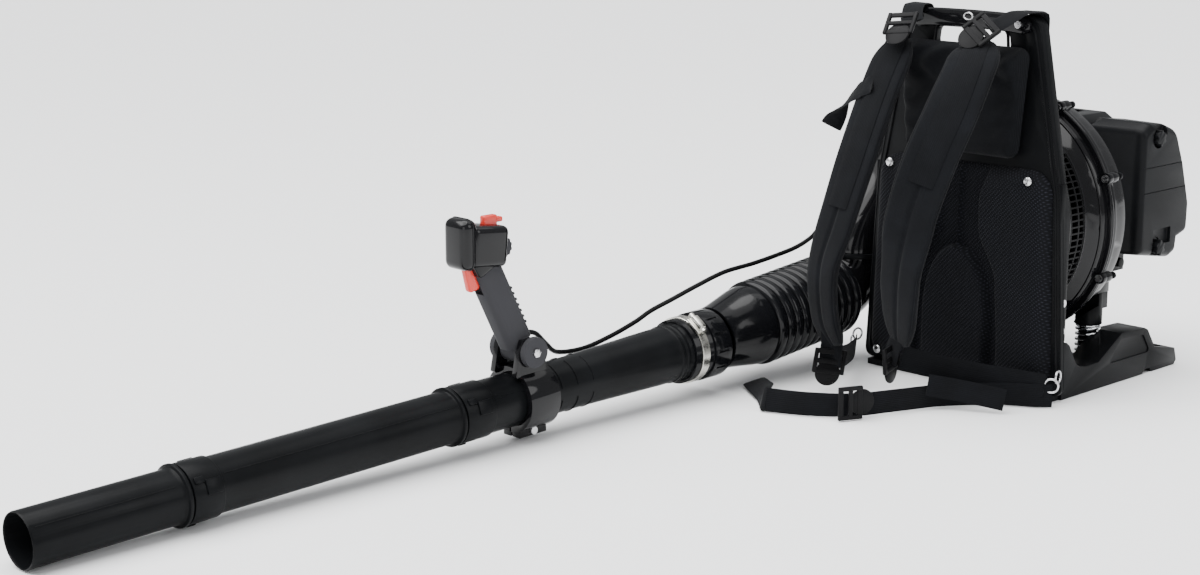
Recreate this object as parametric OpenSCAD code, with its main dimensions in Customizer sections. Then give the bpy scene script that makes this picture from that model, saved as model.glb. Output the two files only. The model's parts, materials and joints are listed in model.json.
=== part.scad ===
// Backpack leaf blower: petrol blower on a sprung back frame, with a swinging
// blow tube, a control handle and a padded harness.
// Origin: on the floor, under the middle of the frame's front face.
// +Z up, -Y towards the wearer and the tip of the tube, +X the air-filter side.

/* [Back frame] */
// Height of the upright frame
frame_h = 504; // [500:1:508]
// Half width of the frame at its foot
frame_half_low = 165; // [160:1:168]
// Half width of the frame at its top
frame_half_top = 107; // [104:1:110]
// Depth of the frame's rim
frame_depth = 16; // [14:1:16]

/* [Base] */
// Outer half width of the base
base_half = 154; // [153:1:156]
// Rear end of the base
base_rear = 300; // [292:1:304]
// Width of each skid
skid_w = 44; // [40:1:46]

/* [Blower] */
// Height of the fan axis above the floor
axis_z = 225; // [224:1:226]
// Outer radius of the fan housing's flange
volute_r = 171; // [170:1:172]
// Depth position of the flange face
flange_y = 96; // [95:1:97]
// Wall of the moulded housings
wall = 3; // [2.5:0.1:3.2]
// Number of impeller blades
blade_count = 16; // [12:1:20]

/* [Tube] */
// Outer radius of the bellows over its ribs
bellows_r = 59; // [57:1:60]
// Outer radius of the elbow
elbow_r = 45; // [44:1:46]
// Outer radius of the straight pipes
pipe_r = 32.5; // [32:0.5:33]
// Wall of the pipes
pipe_wall = 2; // [1.8:0.1:2.4]
// Drop of the blow tube towards its tip, in degrees
tube_drop = 1.84; // [1.8:0.01:1.9]

/* [Handle] */
// Forward lean of the grip, in degrees
grip_lean = 27; // [25:1:29]
// Length of the grip from its pivot to the throttle housing
grip_len = 112; // [108:1:116]

/* [Hidden] */
$fn = 48;

black_plastic = "#1d1f22";
gloss_black = "#121316";
soft_black = "#24262b";
steel = "#b9bcc0";
zinc = "#c8c4b4";
signal_red = "#d8241c";
alloy = "#8d9196";

// Running gaps
fit_gap = 0.05;     // radial gap of a shaft in its bore
part_gap = 0.4;     // gap between pieces that move past each other
screw_r = 2.5;
screw_head_r = 5;

tube_x = -210;      // sideways place of the blow tube
elbow_x = -210;     // sideways place of the elbow and the bellows
elbow_bend = 52;    // bend radius of the elbow
elbow_y = 28;       // depth of the elbow's upright mouth
elbow_z = 94;       // height of the elbow's level mouth
bellows_drop = 5.8; // slope of the bellows
tube_root_y = -328; // middle of the bellows clamp
tube_root_z = 64;
frame_foot = 8.2;   // height of the frame's lower edge
spring_x = 100;
spring_y = 155;
pivot_y = -620;     // pivot of the control handle
pivot_z = 116;
crank_throw = 12;

// ---------- helpers ----------

function unit(v) = v / norm(v);

// One rounded corner of an outline, as points along its arc.
function corner(a, b, c, r, steps) =
    r <= 0 ? [b] :
    let (
        u = unit(a - b), w = unit(c - b), half = acos(max(-1, min(1, u * w))) / 2,
        m = b + unit(u + w) * r / sin(half),
        p = b + u * r / tan(half) - m, q = b + w * r / tan(half) - m,
        start = atan2(p[1], p[0]), turn = atan2(q[1], q[0]) - start,
        sweep = turn > 180 ? turn - 360 : turn < -180 ? turn + 360 : turn
    )
    [for (i = [0:steps]) m + r * [cos(start + sweep * i / steps), sin(start + sweep * i / steps)]];

// An outline with every corner rounded; r is one radius or one for each corner.
function rounded(pts, r, steps = 5) =
    let (n = len(pts))
    [for (i = [0:n - 1]) each corner(pts[(i + n - 1) % n], pts[i], pts[(i + 1) % n],
        is_list(r) ? r[i] : r, steps)];

function mirrored(pts) = concat(pts, [for (i = [len(pts) - 1:-1:0]) [-pts[i][0], pts[i][1]]]);

// Extrude an (x, z) outline from depth y0 to y1.
module front_slab(y0, y1) {
    translate([0, y1, 0]) rotate([90, 0, 0]) linear_extrude(y1 - y0) children();
}

// Extrude a (y, z) outline from x0 to x1.
module side_slab(x0, x1) {
    translate([x0, 0, 0]) rotate([90, 0, 90]) linear_extrude(x1 - x0) children();
}

// A ring about the Y axis through (x, z), from depth y0 to y1.
module ring_y(x, z, y0, y1, ro, ri = 0) {
    translate([x, y1, z]) rotate([90, 0, 0]) difference() {
        cylinder(h = y1 - y0, r = ro);
        if (ri > 0) translate([0, 0, -1]) cylinder(h = y1 - y0 + 2, r = ri);
    }
}

// Turn an outline of (radius, depth) points about the fan axis.
module turned(angle = 360, start = 0) {
    translate([0, 0, axis_z]) rotate([-90, 0, 0]) rotate([0, 0, start])
        rotate_extrude(angle = angle, $fn = 96) children();
}

module both_sides() {
    children();
    mirror([1, 0, 0]) children();
}

// A pan-head screw whose head rests at the origin and whose shank points down -Z.
module screw(len, r = screw_r, head_r = screw_head_r) {
    cylinder(h = 3, r = head_r);
    translate([0, 0, -len]) cylinder(h = len, r = r);
}

// Polyhedron through a list of rings that all have the same number of points.
module loft(rings) {
    n = len(rings[0]);
    m = len(rings);
    points = [for (ring = rings) each ring];
    sides = [for (i = [0:m - 2], j = [0:n - 1]) each [
        [i * n + j, (i + 1) * n + j, (i + 1) * n + (j + 1) % n],
        [i * n + j, (i + 1) * n + (j + 1) % n, i * n + (j + 1) % n]]];
    cap_a = [for (j = [0:n - 1]) j];
    cap_b = [for (j = [n - 1:-1:0]) (m - 1) * n + j];
    polyhedron(points = points, faces = concat([cap_a], sides, [cap_b]));
}

function tangent(path, i) =
    unit(path[min(i + 1, len(path) - 1)] - path[max(i - 1, 0)]);

// A round tube or rod along a path: rings square to the path.
module rod(path, radii, sides = 8) {
    loft([for (i = [0:len(path) - 1])
        let (t = tangent(path, i),
             ref = abs(t[2]) > 0.9 ? [1, 0, 0] : [0, 0, 1],
             u = unit(cross(t, ref)), v = cross(t, u),
             r = is_list(radii) ? radii[i] : radii)
        [for (k = [0:sides - 1]) path[i] + r * (cos(k * 360 / sides) * u + sin(k * 360 / sides) * v)]]);
}

// A flat band along a path, w wide along each side vector and t thick.
module band(path, side, w, t) {
    loft([for (i = [0:len(path) - 1])
        let (d = tangent(path, i),
             s0 = is_list(side[0]) ? side[i] : side,
             n = unit(cross(d, s0)), s = unit(cross(n, d)))
        [path[i] + s * w / 2 + n * t / 2, path[i] - s * w / 2 + n * t / 2,
         path[i] - s * w / 2 - n * t / 2, path[i] + s * w / 2 - n * t / 2]]);
}

// Points on a smooth curve through hand-chosen knots.
function spline(k, steps = 3) = [
    for (i = [0:len(k) - 2], s = [0:steps - 1])
        let (a = k[max(i - 1, 0)], b = k[i], c = k[i + 1], d = k[min(i + 2, len(k) - 1)], t = s / steps)
        0.5 * (2 * b + (c - a) * t + (2 * a - 5 * b + 4 * c - d) * t * t
            + (3 * b - a - 3 * c + d) * t * t * t),
    k[len(k) - 1]
];

// The blow tube's own frame: +Z runs along the tube towards its tip.
module on_tube(along) {
    translate([tube_x, tube_root_y, tube_root_z]) rotate([90 + tube_drop, 0, 0])
        translate([0, 0, along]) children();
}

module tube_piece(z0, z1, ro, ri, ro2 = 0) {
    on_tube(z0) difference() {
        cylinder(h = z1 - z0, r1 = ro, r2 = ro2 > 0 ? ro2 : ro);
        translate([0, 0, -1]) cylinder(h = z1 - z0 + 2, r = ri);
    }
}

// The bellows' own frame: +Z runs along the bellows away from the elbow.
bellows_start = elbow_y - elbow_bend;
module on_bellows(along) {
    translate([elbow_x, bellows_start, elbow_z]) rotate([90 + bellows_drop, 0, 0])
        translate([0, 0, along]) children();
}

// ---------- back frame ----------

function frame_outline(inset, foot = 0) = mirrored([
    [frame_half_low - inset, frame_foot + inset],
    [150 - inset, 276],
    [frame_half_top - inset, frame_h - inset]
]);

module frame_shape(inset) polygon(rounded(frame_outline(inset), [12, 60, 22, 22, 60, 12]));

slot_low = 452;
slot_high = 483;
module slot_shape() polygon(rounded(mirrored([[64, slot_low], [60, slot_high]]), 11));

module back_frame() {
    color(black_plastic) difference() {
        union() {
            front_slab(0, 6) frame_shape(0);
            front_slab(6, frame_depth) difference() {
                intersection() {
                    frame_shape(0);
                    union() {
                        translate([-200, 290]) square([400, 230]);
                        translate([-152, 80]) square([304, 211]);
                        translate([-136, 0]) square([272, 81]);
                    }
                }
                intersection() {
                    frame_shape(13);
                    union() {
                        translate([-200, 93]) square([400, slot_low - 107]);
                        translate([-124, 0]) square([248, 94]);
                    }
                }
            }
            both_sides() side_slab(147.8, 152)
                polygon([[0, 80], [21.6, 80], [21.6, 254], [10, 290], [0, 290]]);
        }
        front_slab(-1, 40) slot_shape();
        for (side = [-1, 1]) translate([side * 80, -1, 493]) rotate([-90, 0, 0]) cylinder(h = 12, r = screw_r);
        both_sides() for (z = [94, 132]) translate([153, 12, z]) rotate([0, -90, 0]) cylinder(h = 14, r = screw_r);
    }
}

module carry_handle() {
    color(gloss_black) difference() {
        front_slab(-9, 0) polygon(rounded(mirrored([[56, 486], [70, 478], [92, 478], [97, 503]]), 4, 3));
        for (side = [-1, 1]) translate([side * 80, -10, 493]) rotate([-90, 0, 0]) cylinder(h = 12, r = screw_r);
    }
}

module frame_screws() {
    color(steel) {
        for (side = [-1, 1]) for (z = [94, 132])
            translate([side * 152, 12, z]) rotate([0, side * 90, 0]) screw(11);
        for (side = [-1, 1]) translate([side * 80, -9, 493]) rotate([90, 0, 0]) screw(18);
    }
}

// ---------- base ----------

skid_in = base_half - skid_w;

module skid() {
    profile = [[16.5, 0], [213, 0], [219, 6], [231, 6], [237, 0], [base_rear - 6, 0], [base_rear, 6],
        [base_rear - 6, 24], [242, 34], [222, 62], [214, 66], [156, 68], [102, 37], [76, 36],
        [60, 38], [48, 44], [31, 72], [24, 77], [16.5, 77]];
    difference() {
        side_slab(skid_in, base_half) polygon(profile);
        // recessed face of the hump
        side_slab(base_half - 2, base_half + 1) polygon(rounded([[124, 30], [158, 60], [211, 57], [230, 30]], 4, 3));
        // recess on top of the foot plate
        side_slab(skid_in + 8, base_half - 8) polygon([[248, 26], [292, 18], [292, 40], [248, 40]]);
        // hollow underside
        translate([skid_in + 4, 60, -1]) cube([skid_w - 8, 146, 21]);
    }
}

module frame_base() {
    color(black_plastic) difference() {
        union() {
            both_sides() skid();
            translate([-skid_in, -12, 0]) cube([2 * skid_in, 72, 7.8]);
            both_sides() translate([skid_in - 0.01, -12, 0]) cube([skid_w - 4, 28.52, 7.8]);
            translate([-skid_in - 0.01, 34, 7.79]) cube([2 * skid_in + 0.02, 8, 30]);
            translate([-skid_in - 0.01, 122, 6]) cube([2 * skid_in + 0.02, 66, 12]);
        }
        both_sides() translate([spring_x, spring_y, 12]) cylinder(h = 60, r = 19);
    }
}

// ---------- vibration isolators ----------

spring_r = 15.4;
spring_turns = 9;
spring_wire = 1.8;
spring_low = 12 + spring_wire;
spring_high = 74 - spring_wire;
module isolator_springs() {
    steps = 12 * spring_turns;
    coil = [for (k = [0:steps]) [spring_r * cos(k * 30), spring_r * sin(k * 30),
        spring_low + (spring_high - spring_low) * k / steps]];
    color(steel) both_sides() translate([spring_x, spring_y, 0]) rod(coil, spring_wire, 6);
}

module isolator_mounts() {
    color(black_plastic) both_sides() difference() {
        union() {
            translate([spring_x, spring_y, 74]) cylinder(h = 44, r = 19);
            translate([spring_x, spring_y, 34]) cylinder(h = 40.01, r = 12.6);
            translate([spring_x - 16, spring_y - 2, 96]) cube([34, 20, 22.01]);
        }
        translate([spring_x, spring_y, 30]) cylinder(h = 90, r = 4);
        ring_y(0, axis_z, 90, 151, volute_r + 0.4);
    }
}

// ---------- fan housing ----------

grille_half_angle = 40;
grille_mids = [0, 250];
cage_r = 150;
cage_front = 22;
cage_back = 63;

module volute_windows(extra) {
    for (mid = grille_mids)
        turned(2 * grille_half_angle, mid - grille_half_angle)
            translate([cage_r - wall - 1, cage_front + 5 - extra]) square([wall + 2, cage_back - cage_front - 8 + extra]);
}

// Room for the air duct's side, where it joins the housing.
module outlet_window() {
    loft([for (i = [0:len(duct_knots) - 1]) duct_ring(i, -0.3)]);
}

module volute_boss(angle, y0, y1, hole_r) {
    r = volute_r + 1;
    difference() {
        ring_y(r * cos(angle), axis_z + r * sin(angle), y0, y1, 7.5);
        ring_y(r * cos(angle), axis_z + r * sin(angle), y0 - 1, y1 + 1, hole_r);
    }
}

boss_angles = [for (a = [-64, -24, 22, 62, 112]) a];

module volute_front() {
    color(gloss_black) difference() {
        union() {
            turned() polygon([[100, cage_front], [cage_r, cage_front], [cage_r, cage_back],
                [156, 68], [161, 76], [163.5, 86], [164, flange_y - 6], [volute_r, flange_y - 6], [volute_r, flange_y],
                [161, flange_y], [160.6, 86], [158, 78], [154, 71], [cage_r - wall, 66],
                [cage_r - wall, cage_front + wall], [100, cage_front + wall]]);
            for (a = boss_angles) volute_boss(a, flange_y - 8, flange_y, 0.01);
        }
        volute_windows(0);
        outlet_window();
        for (a = boss_angles) ring_y((volute_r + 1) * cos(a), axis_z + (volute_r + 1) * sin(a), 60, 120, screw_r);
    }
}

module volute_rear() {
    color(gloss_black) difference() {
        union() {
            turned() polygon([[volute_r, flange_y], [volute_r, flange_y + 6], [164, flange_y + 6], [162, 136],
                [150, 150], [40, 150], [40, 146.5], [148, 146.5], [158.6, 135], [160.6, flange_y]]);
            for (a = boss_angles) volute_boss(a, flange_y, flange_y + 12, 0.01);
            both_sides() translate([spring_x - 16, 148, 118.4]) cube([34, 26.6, 20]);
        }
        outlet_window();
        for (a = boss_angles) ring_y((volute_r + 1) * cos(a), axis_z + (volute_r + 1) * sin(a), 60, 120, screw_r);
    }
}

module inlet_grille() {
    bars = 24;
    color(black_plastic) for (mid = grille_mids) {
        for (k = [0:bars - 1])
            let (a = mid - grille_half_angle + 2 + k * (2 * grille_half_angle - 4) / (bars - 1))
            translate([0, 0, axis_z]) rotate([0, a, 0])
                translate([cage_r - wall + 0.3, cage_front + 5.3, -1.1])
                    cube([wall - 0.6, cage_back - cage_front - 8.6, 2.2]);
        for (y = [cage_front + 5.3, 44, cage_back - 6.3])
            turned(2 * grille_half_angle - 0.6, mid - grille_half_angle + 0.3)
                translate([cage_r - wall + 0.3, y]) square([wall - 0.6, 3]);
    }
}

module volute_screws() {
    color(steel) for (a = boss_angles)
        translate([(volute_r + 1) * cos(a), flange_y - 8, axis_z + (volute_r + 1) * sin(a)])
            rotate([90, 0, 0]) screw(20);
}

// ---------- air duct and bellows ----------

// The duct runs down beside the housing and forward to the elbow's mouth.
duct_knots = [[-152, 96, 338], [-170, 96, 318], [-186, 95, 290], [-197, 90, 256], [-205, 74, 220],
    [elbow_x, 52, 192], [elbow_x, 34, 170], [elbow_x, elbow_y + 0.5, 156], [elbow_x, elbow_y, 146.3]];
duct_radii = [16, 26, 36, 43, 46, 46, 45.5, 45, elbow_r];
duct_sides = 24;

// One ring of the duct, made smaller by inset; the last ring is level.
function duct_ring(i, inset) =
    let (t = i == len(duct_knots) - 1 ? [0, 0, -1] : tangent(duct_knots, i),
        u = unit([0, 1, 0] - t * t[1]), v = cross(t, u))
    [for (k = [0:duct_sides - 1])
        duct_knots[i] + (duct_radii[i] - inset) * (cos(k * 360 / duct_sides) * u + sin(k * 360 / duct_sides) * v)];

module duct(thick) {
    n = duct_sides;
    m = len(duct_knots);
    points = concat([for (i = [0:m - 1]) each duct_ring(i, 0)], [for (i = [0:m - 1]) each duct_ring(i, thick)]);
    inner = m * n;
    faces = concat(
        [for (i = [0:m - 2], j = [0:n - 1]) each let (a = i * n + j, b = i * n + (j + 1) % n)
            [[a, a + n, b + n], [a, b + n, b], [inner + a, inner + b + n, inner + a + n], [inner + a, inner + b, inner + b + n]]],
        [for (j = [0:n - 1]) each let (k = (j + 1) % n)
            [[j, k, inner + k], [j, inner + k, inner + j]]],
        [for (j = [0:n - 1]) each let (a = (m - 1) * n + j, b = (m - 1) * n + (j + 1) % n)
            [[a, inner + b, b], [a, inner + a, inner + b]]]);
    polyhedron(points = points, faces = faces);
}

module outlet_duct() {
    color(gloss_black) duct(wall);
}

module elbow() {
    mouth = 146;
    color(gloss_black) union() {
        translate([elbow_x, elbow_y - elbow_bend, mouth]) rotate([0, 90, 0])
            rotate_extrude(angle = 90) translate([elbow_bend, 0]) difference() {
                circle(r = elbow_r);
                circle(r = elbow_r - wall);
            }
    }
}

module elbow_clamp() {
    color(black_plastic) difference() {
        union() {
            translate([elbow_x, elbow_y, 144.6]) cylinder(h = 7, r = elbow_r + 4);
            translate([elbow_x - 60, elbow_y - 7, 144.6]) cube([16, 14, 7]);
        }
        translate([elbow_x, elbow_y, 140]) cylinder(h = 20, r = elbow_r + 0.6);
        outlet_window();
    }
}

rib_pitch = 15.6;
// Profile of one stretch of ribbed sleeve, as (radius, distance) points.
function ribs(first, count, valley) = [
    for (k = [0:count - 1]) each [
        [valley, (first + k) * rib_pitch + 1],
        [bellows_r, (first + k) * rib_pitch + 5],
        [bellows_r, (first + k) * rib_pitch + 10],
        [valley, (first + k) * rib_pitch + 14]]
];
function sleeve(first, count, valley) = concat(
    [[valley - wall, first * rib_pitch + 0.2]], [[valley, first * rib_pitch + 0.2]],
    ribs(first, count, valley),
    [[valley, (first + count) * rib_pitch - 0.2]], [[valley - wall, (first + count) * rib_pitch - 0.2]]);

bellows_valley = 52;
module bellows_rear() {
    color(gloss_black) on_bellows(0) rotate_extrude() union() {
        polygon(concat([[elbow_r + 0.5, -4], [elbow_r + 4, -4], [bellows_valley, 0]],
            ribs(0, 4, bellows_valley),
            [[bellows_valley, 4 * rib_pitch - 0.2], [bellows_valley - wall, 4 * rib_pitch - 0.2],
             [bellows_valley - wall, 1], [elbow_r + 0.5, 0]]));
    }
}

module bellows_mid() {
    color(gloss_black) on_bellows(0) rotate_extrude() polygon(sleeve(4, 4, bellows_valley));
}

cone_start = 11 * rib_pitch;
cone_end = 248;
module bellows_front() {
    color(gloss_black) on_bellows(0) rotate_extrude() polygon(concat(
        [[bellows_valley - wall, 8 * rib_pitch + 0.2], [bellows_valley, 8 * rib_pitch + 0.2]],
        ribs(8, 3, bellows_valley),
        [[bellows_valley + 2, cone_start + 3], [bellows_valley - 2, cone_start + 30], [43.2, cone_end],
         [40.2, cone_end], [bellows_valley - 5, cone_start + 29], [bellows_valley - wall, cone_start + 1]]));
}

// ---------- straight tube: places along its axis from the clamp ----------

module clamp_collar() {
    color(black_plastic) difference() {
        union() {
            tube_piece(-48, -17, 46, 39.2);
            tube_piece(-18, 17, 43, 39.2);
        }
        on_tube(-49) for (k = [0:11]) rotate([0, 0, k * 30]) translate([46, 0, 8]) cylinder(h = 18, r = 1.6);
    }
}

module bellows_clamp() {
    color(zinc) difference() {
        union() {
            tube_piece(-14, 15, 44.6, 43.1);
            on_tube(-8) rotate([0, 0, -36]) translate([-7, 42, 0]) cube([14, 14, 18]);
        }
        on_tube(-30) cylinder(h = 60, r = 43.1);
        on_tube(1) rotate([0, 0, -36]) translate([-8, 50.5, 0]) rotate([0, 90, 0]) cylinder(h = 16, r = 3);
    }
}

module swivel_pipe() {
    color(soft_black) on_tube(0) rotate_extrude() polygon([
        [37, -46], [39.1, -46], [39.1, 18], [37.5, 22], [37.5, 24], [38.6, 25], [38.6, 28], [37.5, 29], [37.5, 33],
        [38.6, 34], [38.6, 37], [37.5, 38], [37.2, 60], [33.5, 205], [33.5, 358], [35.6, 359], [35.6, 403],
        [33.2, 403], [33.2, 366], [31.5, 364], [31.5, 206], [35, 60], [35, 0], [37, -20]]);
}

module bayonet(at, length, r) {
    difference() {
        union() {
            tube_piece(at, at + length, r + 2.9, r + 0.5);
            on_tube(at + length - 4) cylinder(h = 4, r = r + 4.4);
            for (k = [0:2]) on_tube(at + 8) rotate([0, 0, 50 + 120 * k])
                translate([r + 2, -8, 0]) cube([3, 16, length - 14]);
        }
        on_tube(at - 1) cylinder(h = length + 2, r = r + 0.5);
    }
}

module middle_pipe() {
    color(soft_black) on_tube(0) rotate_extrude() polygon([
        [30.5, 370], [pipe_r, 370], [pipe_r, 406], [36.6, 406], [36.6, 410], [pipe_r + 0.4, 411], [pipe_r, 414],
        [pipe_r, 748], [34.8, 749], [34.8, 787], [pipe_r + 0.2, 787], [pipe_r + 0.2, 752], [30.5, 750]]);
}

tube_tip = 979.5;
module nozzle() {
    color(soft_black) on_tube(0) rotate_extrude() polygon([
        [30, 754], [32.2, 754], [32.2, 790], [36, 790], [36, 794], [32.6, 795], [31.5, 800],
        [31.5, tube_tip - 2.5], [30.7, tube_tip], [30, tube_tip - 0.6], [29.3, tube_tip - 3], [29.3, 800]]);
}

// ---------- fan and engine ----------

module impeller() {
    color(soft_black) translate([0, 0, axis_z]) difference() {
        union() {
            translate([0, 142, 0]) rotate([90, 0, 0]) cylinder(h = 5, r = 145);
            translate([0, 142, 0]) rotate([90, 0, 0]) cylinder(h = 60, r = 24);
            for (k = [0:blade_count - 1]) rotate([0, k * 360 / blade_count, 0])
                translate([22, 84, -1.5]) cube([122, 53.5, 3]);
        }
        translate([0, 150, 0]) rotate([90, 0, 0]) cylinder(h = 80, r = 8 + fit_gap);
    }
}

// The crankshaft runs along Y; its crank pin stands up at rest.
crank_y = 206;
module crankshaft() {
    color(steel) {
        ring_y(0, axis_z, 80, crank_y - 9, 8);
        ring_y(0, axis_z, crank_y + 9, 276, 8);
        for (y = [crank_y - 16, crank_y + 8]) translate([0, y + 8, axis_z]) rotate([90, 0, 0]) difference() {
            cylinder(h = 8, r = 25);
            for (s = [-1, 1]) translate([s * 25, 12, -1]) cylinder(h = 10, r = 12);
        }
        ring_y(0, axis_z + crank_throw, crank_y - 8.5, crank_y + 8.5, 6);
    }
}

module flywheel() {
    color(alloy) difference() {
        union() {
            ring_y(0, axis_z, 156, 172, 52, 8 + fit_gap);
            for (k = [0:11]) translate([0, 152, axis_z]) rotate([0, k * 30, 0]) translate([22, 0, -1.2]) cube([28, 4.01, 2.4]);
        }
    }
}

module crankcase() {
    color(alloy) difference() {
        union() {
            ring_y(0, axis_z, 178, 234, 42);
            translate([-30, 182, axis_z + 20]) cube([60, 48, 24]);
            translate([-40, 184, axis_z - 60]) cube([80, 44, 24]);
            for (a = [45:90:315]) {
                translate([0, 180, axis_z]) rotate([0, a, 0]) translate([38, 0, -3.5]) cube([24, 9, 7]);
                translate([58 * cos(a), 181, axis_z + 58 * sin(a)]) rotate([90, 0, 0]) cylinder(h = 30.6, r = 3.2);
            }
        }
        ring_y(0, axis_z, 186, 226, 34);
        ring_y(0, axis_z, 170, 240, 8 + 2 * fit_gap);
        translate([0, crank_y, axis_z + 20]) cylinder(h = 30, r = 22);
    }
}

module cylinder_part() {
    color(alloy) translate([0, crank_y, axis_z + 44]) difference() {
        union() {
            cylinder(h = 58, r = 27);
            for (k = [0:7]) translate([-36, -34, 6 + k * 6.4]) cube([72, 68, 2.2]);
            translate([20, -14, 10]) cube([26, 28, 22]);
            translate([-46, -14, 10]) cube([26, 28, 22]);
        }
        translate([0, 0, -1]) cylinder(h = 50, r = 21 + fit_gap);
        translate([0, 0, 40]) cylinder(h = 30, r = 5);
        translate([19, 0, 21]) rotate([0, 90, 0]) cylinder(h = 30, r = 8);
        translate([-50, 0, 21]) rotate([0, 90, 0]) cylinder(h = 31, r = 8);
    }
}

module piston() {
    color(steel) translate([0, crank_y, axis_z + 56]) difference() {
        cylinder(h = 30, r = 21);
        translate([0, 0, -1]) cylinder(h = 26, r = 18);
        for (s = [-1, 1]) translate([0, 0, 12]) rotate([90, 0, 0]) cylinder(h = 50, r = 4, center = true);
    }
}

module spark_plug() {
    color("white") translate([0, crank_y, axis_z + 102.01]) {
        translate([0, 0, -10]) cylinder(h = 10, r = 4.9);
        cylinder(h = 6, r = 9, $fn = 6);
        translate([0, 0, 6]) cylinder(h = 14, r = 6);
    }
}

module ignition_coil() {
    color(soft_black) union() {
        translate([-16, 158, axis_z + 54]) cube([32, 12, 14.01]);
        translate([-12, 152, axis_z + 68]) cube([24, 19.6, 16]);
    }
}

module muffler() {
    color(steel) difference() {
        union() {
            translate([-104, crank_y - 32, axis_z + 30]) cube([57.9, 64, 70]);
            translate([-118, crank_y + 6, axis_z + 40]) cube([14.01, 16, 20]);
        }
        translate([-101, crank_y - 29, axis_z + 33]) cube([51.9, 58, 64]);
        translate([-120, crank_y + 14, axis_z + 50]) rotate([0, 90, 0]) cylinder(h = 30, r = 6);
    }
}

module carburetor() {
    color(alloy) difference() {
        union() {
            translate([46.1, crank_y - 15, axis_z + 48]) cube([26, 30, 34]);
        }
        translate([40, crank_y, axis_z + 65]) rotate([0, 90, 0]) cylinder(h = 40, r = 8);
        ring_y(59, axis_z + 56, 190, 196.5, 7.4);
    }
}

// Air cleaner: a base plate, the foam and the cover with its two knobs.
filter_x = 72.5;
module filter_outline(inset) {
    polygon(rounded([[190 + inset, 172 + inset], [292 - inset, 152 + inset], [304 - inset, 160 + inset],
        [306 - inset, 176 + inset], [334 - inset, 182 + inset], [334 - inset, 224], [312 - inset, 286],
        [290 - inset, 334 - inset], [262 - inset, 344 - inset], [198 + inset, 352 - inset], [190 + inset, 344 - inset]],
        4, 2));
}

module air_filter_base() {
    color(black_plastic) difference() {
        union() {
            side_slab(filter_x, filter_x + 8) filter_outline(0);
            translate([filter_x + 7.99, 244, 144]) rotate([0, 90, 0]) cylinder(h = 12, r = 7);
            translate([60, 226, 130]) cube([20.5, 42, 32]);
        }
        translate([filter_x - 1, crank_y + 6, axis_z + 65]) rotate([0, 90, 0]) cylinder(h = 12, r = 9);
        for (k = knob_places) translate([filter_x - 1, k[0], k[1]]) rotate([0, 90, 0]) cylinder(h = 30, r = 3);
    }
}

knob_places = [[242, 326], [254, 172]];

module air_filter_element() {
    color("#6d6a60") translate([filter_x + 8.2, 208, 194]) cube([34, 90, 110]);
}

module air_filter_cover() {
    x1 = 143;
    color(black_plastic) difference() {
        union() {
            side_slab(filter_x + 8.4, x1 - 8) filter_outline(0);
            side_slab(x1 - 8.01, x1 - 4) filter_outline(3);
            side_slab(x1 - 4.01, x1) filter_outline(8);
        }
        side_slab(filter_x + 8, x1 - 14) filter_outline(3);
        for (k = knob_places) translate([x1 - 20, k[0], k[1]]) rotate([0, 90, 0]) cylinder(h = 30, r = 6.4);
        for (k = knob_places) translate([x1 - 8, k[0], k[1]]) rotate([0, 90, 0]) cylinder(h = 30, r = 14);
        translate([x1 - 5, 240, 176]) cube([10, 44, 20]);
    }
}

module cover_knob(place) {
    color(black_plastic) translate([135.4, place[0], place[1]]) rotate([0, 90, 0]) {
        difference() {
            cylinder(h = 12, r = 11);
            for (k = [0:5]) rotate([0, 0, k * 60 + 30]) translate([12.5, 0, -1]) cylinder(h = 14, r = 4);
        }
        translate([0, 0, -40]) cylinder(h = 40.01, r = 2.9);
    }
}

rope_x = -34;
rope_z = axis_z + 34;
module starter_housing() {
    color(black_plastic) difference() {
        union() {
            difference() {
                ring_y(0, axis_z, 240, 292, 66);
                ring_y(0, axis_z, 239, 286, 62);
            }
            for (a = [0:90:270]) ring_y(38 * cos(a), axis_z + 38 * sin(a), 234.1, 287, 3.6);
        }
        for (k = [0:11]) ring_y(34 * cos(k * 30 + 15), axis_z + 34 * sin(k * 30 + 15), 280, 300, 5);
        ring_y(rope_x, rope_z, 280, 300, 4);
    }
}

module starter_grip() {
    color(black_plastic) difference() {
        union() {
            translate([rope_x - 22, 294, rope_z - 9]) cube([44, 10, 18]);
            ring_y(rope_x, rope_z, 303.9, 314, 9);
        }
    }
}

module starter_rope() {
    color("#d8d4c8") ring_y(rope_x, rope_z, 241, 293.8, 1.8);
}

module fuel_tank() {
    color("#d9d6cc") difference() {
        union() {
            translate([-130, 175, 84]) cube([140, 58, 70]);
            translate([-112, 202, 150]) cylinder(h = 12, r = 16);
        }
        translate([-127, 178, 87]) cube([134, 52, 63.01]);
        translate([-112, 202, 140]) cylinder(h = 30, r = 12.5);
    }
}

module fuel_cap() {
    color(black_plastic) translate([-112, 202, 0]) {
        translate([0, 0, 162.3]) difference() {
            cylinder(h = 14, r = 20);
            for (k = [0:11]) rotate([0, 0, k * 30]) translate([21, 0, -1]) cylinder(h = 16, r = 2.4);
        }
        translate([0, 0, 152]) cylinder(h = 10.31, r = 12.4);
    }
}

module engine_cover() {
    color(black_plastic) difference() {
        front_slab(150.4, 250) polygon(rounded([[-118, axis_z + 26], [-118, axis_z + 112], [-96, axis_z + 128],
            [50, axis_z + 128], [66, axis_z + 118], [66, axis_z + 90]], 5, 2));
        front_slab(153.4, 251) polygon([[-115, axis_z + 20], [-115, axis_z + 110], [-94, axis_z + 125],
            [48, axis_z + 125], [60, axis_z + 116], [80, axis_z + 70], [80, axis_z + 20]]);
        for (k = [0:5]) translate([-84 + k * 20, 176, axis_z + 120]) cube([9, 60, 12]);
        translate([-130, crank_y + 2, axis_z + 36]) cube([30, 24, 28]);
        translate([-60, 149, axis_z + 10]) cube([130, 30, 80]);
    }
}

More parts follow.
